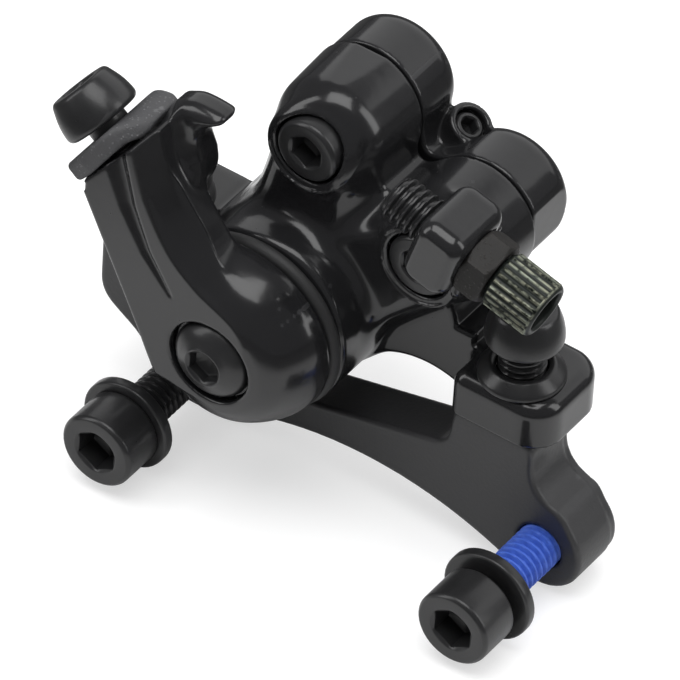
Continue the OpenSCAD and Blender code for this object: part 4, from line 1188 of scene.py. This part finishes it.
# %% Knurled adjuster
KNURL_SIDES, RIDGES = 192, 24
KNURL_START, KNURL_END, SOCKET_DEPTH = 7.0, 14.0, 5.0
STEM_END, RIDGE_DEPTH, CABLE_BORE_R = -8.9, 0.32, 1.15
ridge = KNURL_R - RIDGE_DEPTH * (0.5 - 0.5 * np.cos(RIDGES * around(KNURL_SIDES))) ** 0.7
socket_floor = KNURL_END - SOCKET_DEPTH
head_rings = soften([
    (socket_floor, 1.2, 0), (socket_floor, 2.55, 0.2), (KNURL_END - 0.3, 2.6, 0.1),
    (KNURL_END, 2.9, 0.1), (KNURL_END, KNURL_R - 0.45, 0.15),
    (KNURL_END - 0.35, KNURL_R - 0.1, 0.1), (KNURL_END - 0.5, KNURL_R - 0.1, 0),
    (KNURL_END - 0.6, ridge, 0), (KNURL_START + 0.5, ridge, 0),
    (KNURL_START + 0.35, KNURL_R - 0.25, 0), (KNURL_START, KNURL_R - 0.5, 0.1),
    (KNURL_START, 1.2, 0.1)], KNURL_SIDES)
stem_rings = thread_rings(-KNURL_START + 0.1, -STEM_END, *M6, sides=KNURL_SIDES)
stem_rings = [np.stack([-h, r]) for h, r in stem_rings]
bore = [(STEM_END, CABLE_BORE_R, 0), (KNURL_START - 0.1, CABLE_BORE_R, 0)]
bore_rings = soften(bore, KNURL_SIDES)
for name, rings, finish in (("adjuster_head", head_rings, plating),
                            ("adjuster_stem", stem_rings + bore_rings, steel)):
    turned(name, rings, stop_place, cable_way, finish, "barrel_adjuster", hollow=True)

# %% [markdown]
# ## Finishes on the carried-over solids
# The inner pieces, such as the shaft, the balls, the pads and their adjuster, are hidden or show a
# plain face. They could be modelled again with softer edges, for little that anyone sees. Their
# solids already have the right shape, so they are kept as they are and only get a finish.

# %% Dress the carried-over nodes
node_finish = {
    "bare_steel": bright_steel, "bearing_bronze": bronze, "black_rubber": rubber,
    "brake_lining": lining, "black_steel": steel}
kept = {name: node for name, node in frame["nodes"].items() if not node.hide_render}
for name, node in kept.items():
    node.data.materials.clear()
    node.data.materials.append(node_finish[slot_of[name]])
print("carried over:", len(kept))

# %% [markdown]
# ## Stage, light and camera
# Gloss black shows only what it reflects, so the studio is part of the looks. A white floor
# carries a soft shadow; the camera sees it half lit and half glowing, so the ground stays white.
# In reflections it fades with distance, like a board on a dark table. A ceiling lights from above
# without being mirrored, three boxes draw the highlights, and a dim wall stands behind. A sky
# picture could light it too, but boxes can be moved one at a time.

# %% Floor
FLOOR_HALF, FLOOR_GAP = 6.0, 0.5 * MM
GLOW, GLOW_SHARE = 1.15, 0.5
NEAR, FAR, NEAR_LOSS, FAR_LOSS = 0.06, 0.12, 0.36, 0.92
floor_mesh = bpy.data.meshes.new("floor")
floor_z = cad_low.z - FLOOR_GAP
corners = [(-1, -1), (1, -1), (1, 1), (-1, 1)]
floor_mesh.from_pydata([(FLOOR_HALF * a, FLOOR_HALF * b, floor_z) for a, b in corners],
                       [], [(0, 1, 2, 3)])
floor = bpy.data.objects.new("floor", floor_mesh)
bpy.context.scene.collection.objects.link(floor)
floor_paint, floor_shader, floor_place = new_finish("white_floor")
cloud = grain(floor_place, 60.0, 2.0)
floor_colour = tint(floor_place, cloud, (0.93, 0.93, 0.93), (0.95, 0.95, 0.95))
floor_place.plug(floor_colour, floor_shader.inputs["Base Color"])
floor_shader.inputs["Roughness"].default_value = 0.9
floor_shader.inputs["Specular IOR Level"].default_value = 0.0
floor_mesh.materials.append(floor_paint)
print("floor at", round(floor_z / MM, 2), "mm")


# %% What the camera and reflections see of the floor
def emission(colour, strength):
    inputs = {"Color": (colour, colour, colour, 1.0), "Strength": strength}
    return floor_place.node("ShaderNodeEmission", inputs=inputs)


def mix_shader(factor, first, second):
    return floor_place.node("ShaderNodeMixShader", inputs={0: factor, 1: first, 2: second})


tree = floor_paint.node_tree
seen = floor_place.node("ShaderNodeLightPath", output="Is Camera Ray")
mirrored = floor_place.node("ShaderNodeLightPath", output="Is Glossy Ray")
lit = Signal(tree, floor_shader.outputs[0])
floor_look = mix_shader(GLOW_SHARE * seen, lit, emission(1.0, GLOW))
spot = floor_place.node("ShaderNodeNewGeometry", output="Position")
away = floor_place.node("ShaderNodeVectorMath", {"operation": "LENGTH"}, {0: spot}, "Value")
loss = NEAR_LOSS + (FAR_LOSS - NEAR_LOSS) * away.between(NEAR, FAR)
floor_look = mix_shader(loss * mirrored, floor_look, emission(0.0, 1.0))
output = next(n for n in tree.nodes if n.type == "OUTPUT_MATERIAL")
floor_place.plug(floor_look, output.inputs["Surface"])
print("floor nodes:", len(tree.nodes))

# %% World
WORLD_GREY = (0.16, 0.16, 0.165, 1.0)
world = bpy.data.worlds.new("studio")
world.use_nodes = True
world.node_tree.nodes["Background"].inputs["Color"].default_value = WORLD_GREY
bpy.context.scene.world = world
print("world:", WORLD_GREY[:3])

# %% Soft boxes
look_at = Vector((-8.02, 5.79, 10.01)) * MM


def view_back(azimuth, elevation):
    a, e = math.radians(azimuth), math.radians(elevation)
    return Vector((math.sin(a) * math.cos(e), -math.cos(a) * math.cos(e), math.sin(e)))


def soft_box(name, azimuth, elevation, distance, width, height, brightness, mirrored=True):
    lamp = bpy.data.lights.new(name, "AREA")
    lamp.shape = "RECTANGLE"
    lamp.size, lamp.size_y = width, height
    lamp.energy = brightness * math.pi * width * height
    box = bpy.data.objects.new(name, lamp)
    bpy.context.scene.collection.objects.link(box)
    box.location = look_at + distance * view_back(azimuth, elevation)
    box.rotation_euler = view_back(azimuth, elevation).to_track_quat("Z", "Y").to_euler()
    box.visible_glossy = mirrored


soft_box("ceiling", 0, 90, 0.9, 1.2, 1.2, 2.2, mirrored=False)
soft_box("top_box", 20, 80, 0.9, 0.6, 0.6, 3.0)
soft_box("left_box", -50, 35, 0.9, 0.3, 0.8, 2.6)
soft_box("right_box", 110, 30, 0.9, 0.3, 0.8, 2.6)
soft_box("backdrop", 185, 34, 1.0, 2.0, 0.8, 0.8)
print("lights:", len(bpy.data.lights))

# %% Camera
PHOTO_WIDTH, FOCAL_PIXELS = 680, 12000
DISTANCE, ROLL, AZIMUTH, ELEVATION = 1.4341, 3.785, 32.64, 42.53
camera_data = bpy.data.cameras.new("camera")
camera_data.sensor_width = 36.0
camera_data.lens = camera_data.sensor_width * FOCAL_PIXELS / PHOTO_WIDTH
camera = bpy.data.objects.new("camera", camera_data)
bpy.context.scene.collection.objects.link(camera)
back = view_back(AZIMUTH, ELEVATION)
turn = back.to_track_quat("Z", "Y").to_matrix() @ Matrix.Rotation(math.radians(ROLL), 3, "Z")
camera.matrix_world = Matrix.Translation(look_at + DISTANCE * back) @ turn.to_4x4()
camera_data.clip_start, camera_data.clip_end = 0.1, 20.0
bpy.context.scene.camera = camera
bpy.context.scene.view_settings.view_transform = "Standard"
print("camera at", camera.matrix_world.translation / MM)

# %% [markdown]
# ## Last step
# Last, the view layer is updated, so that every piece stands where it was put.

# %% Update the scene
bpy.context.view_layer.update()
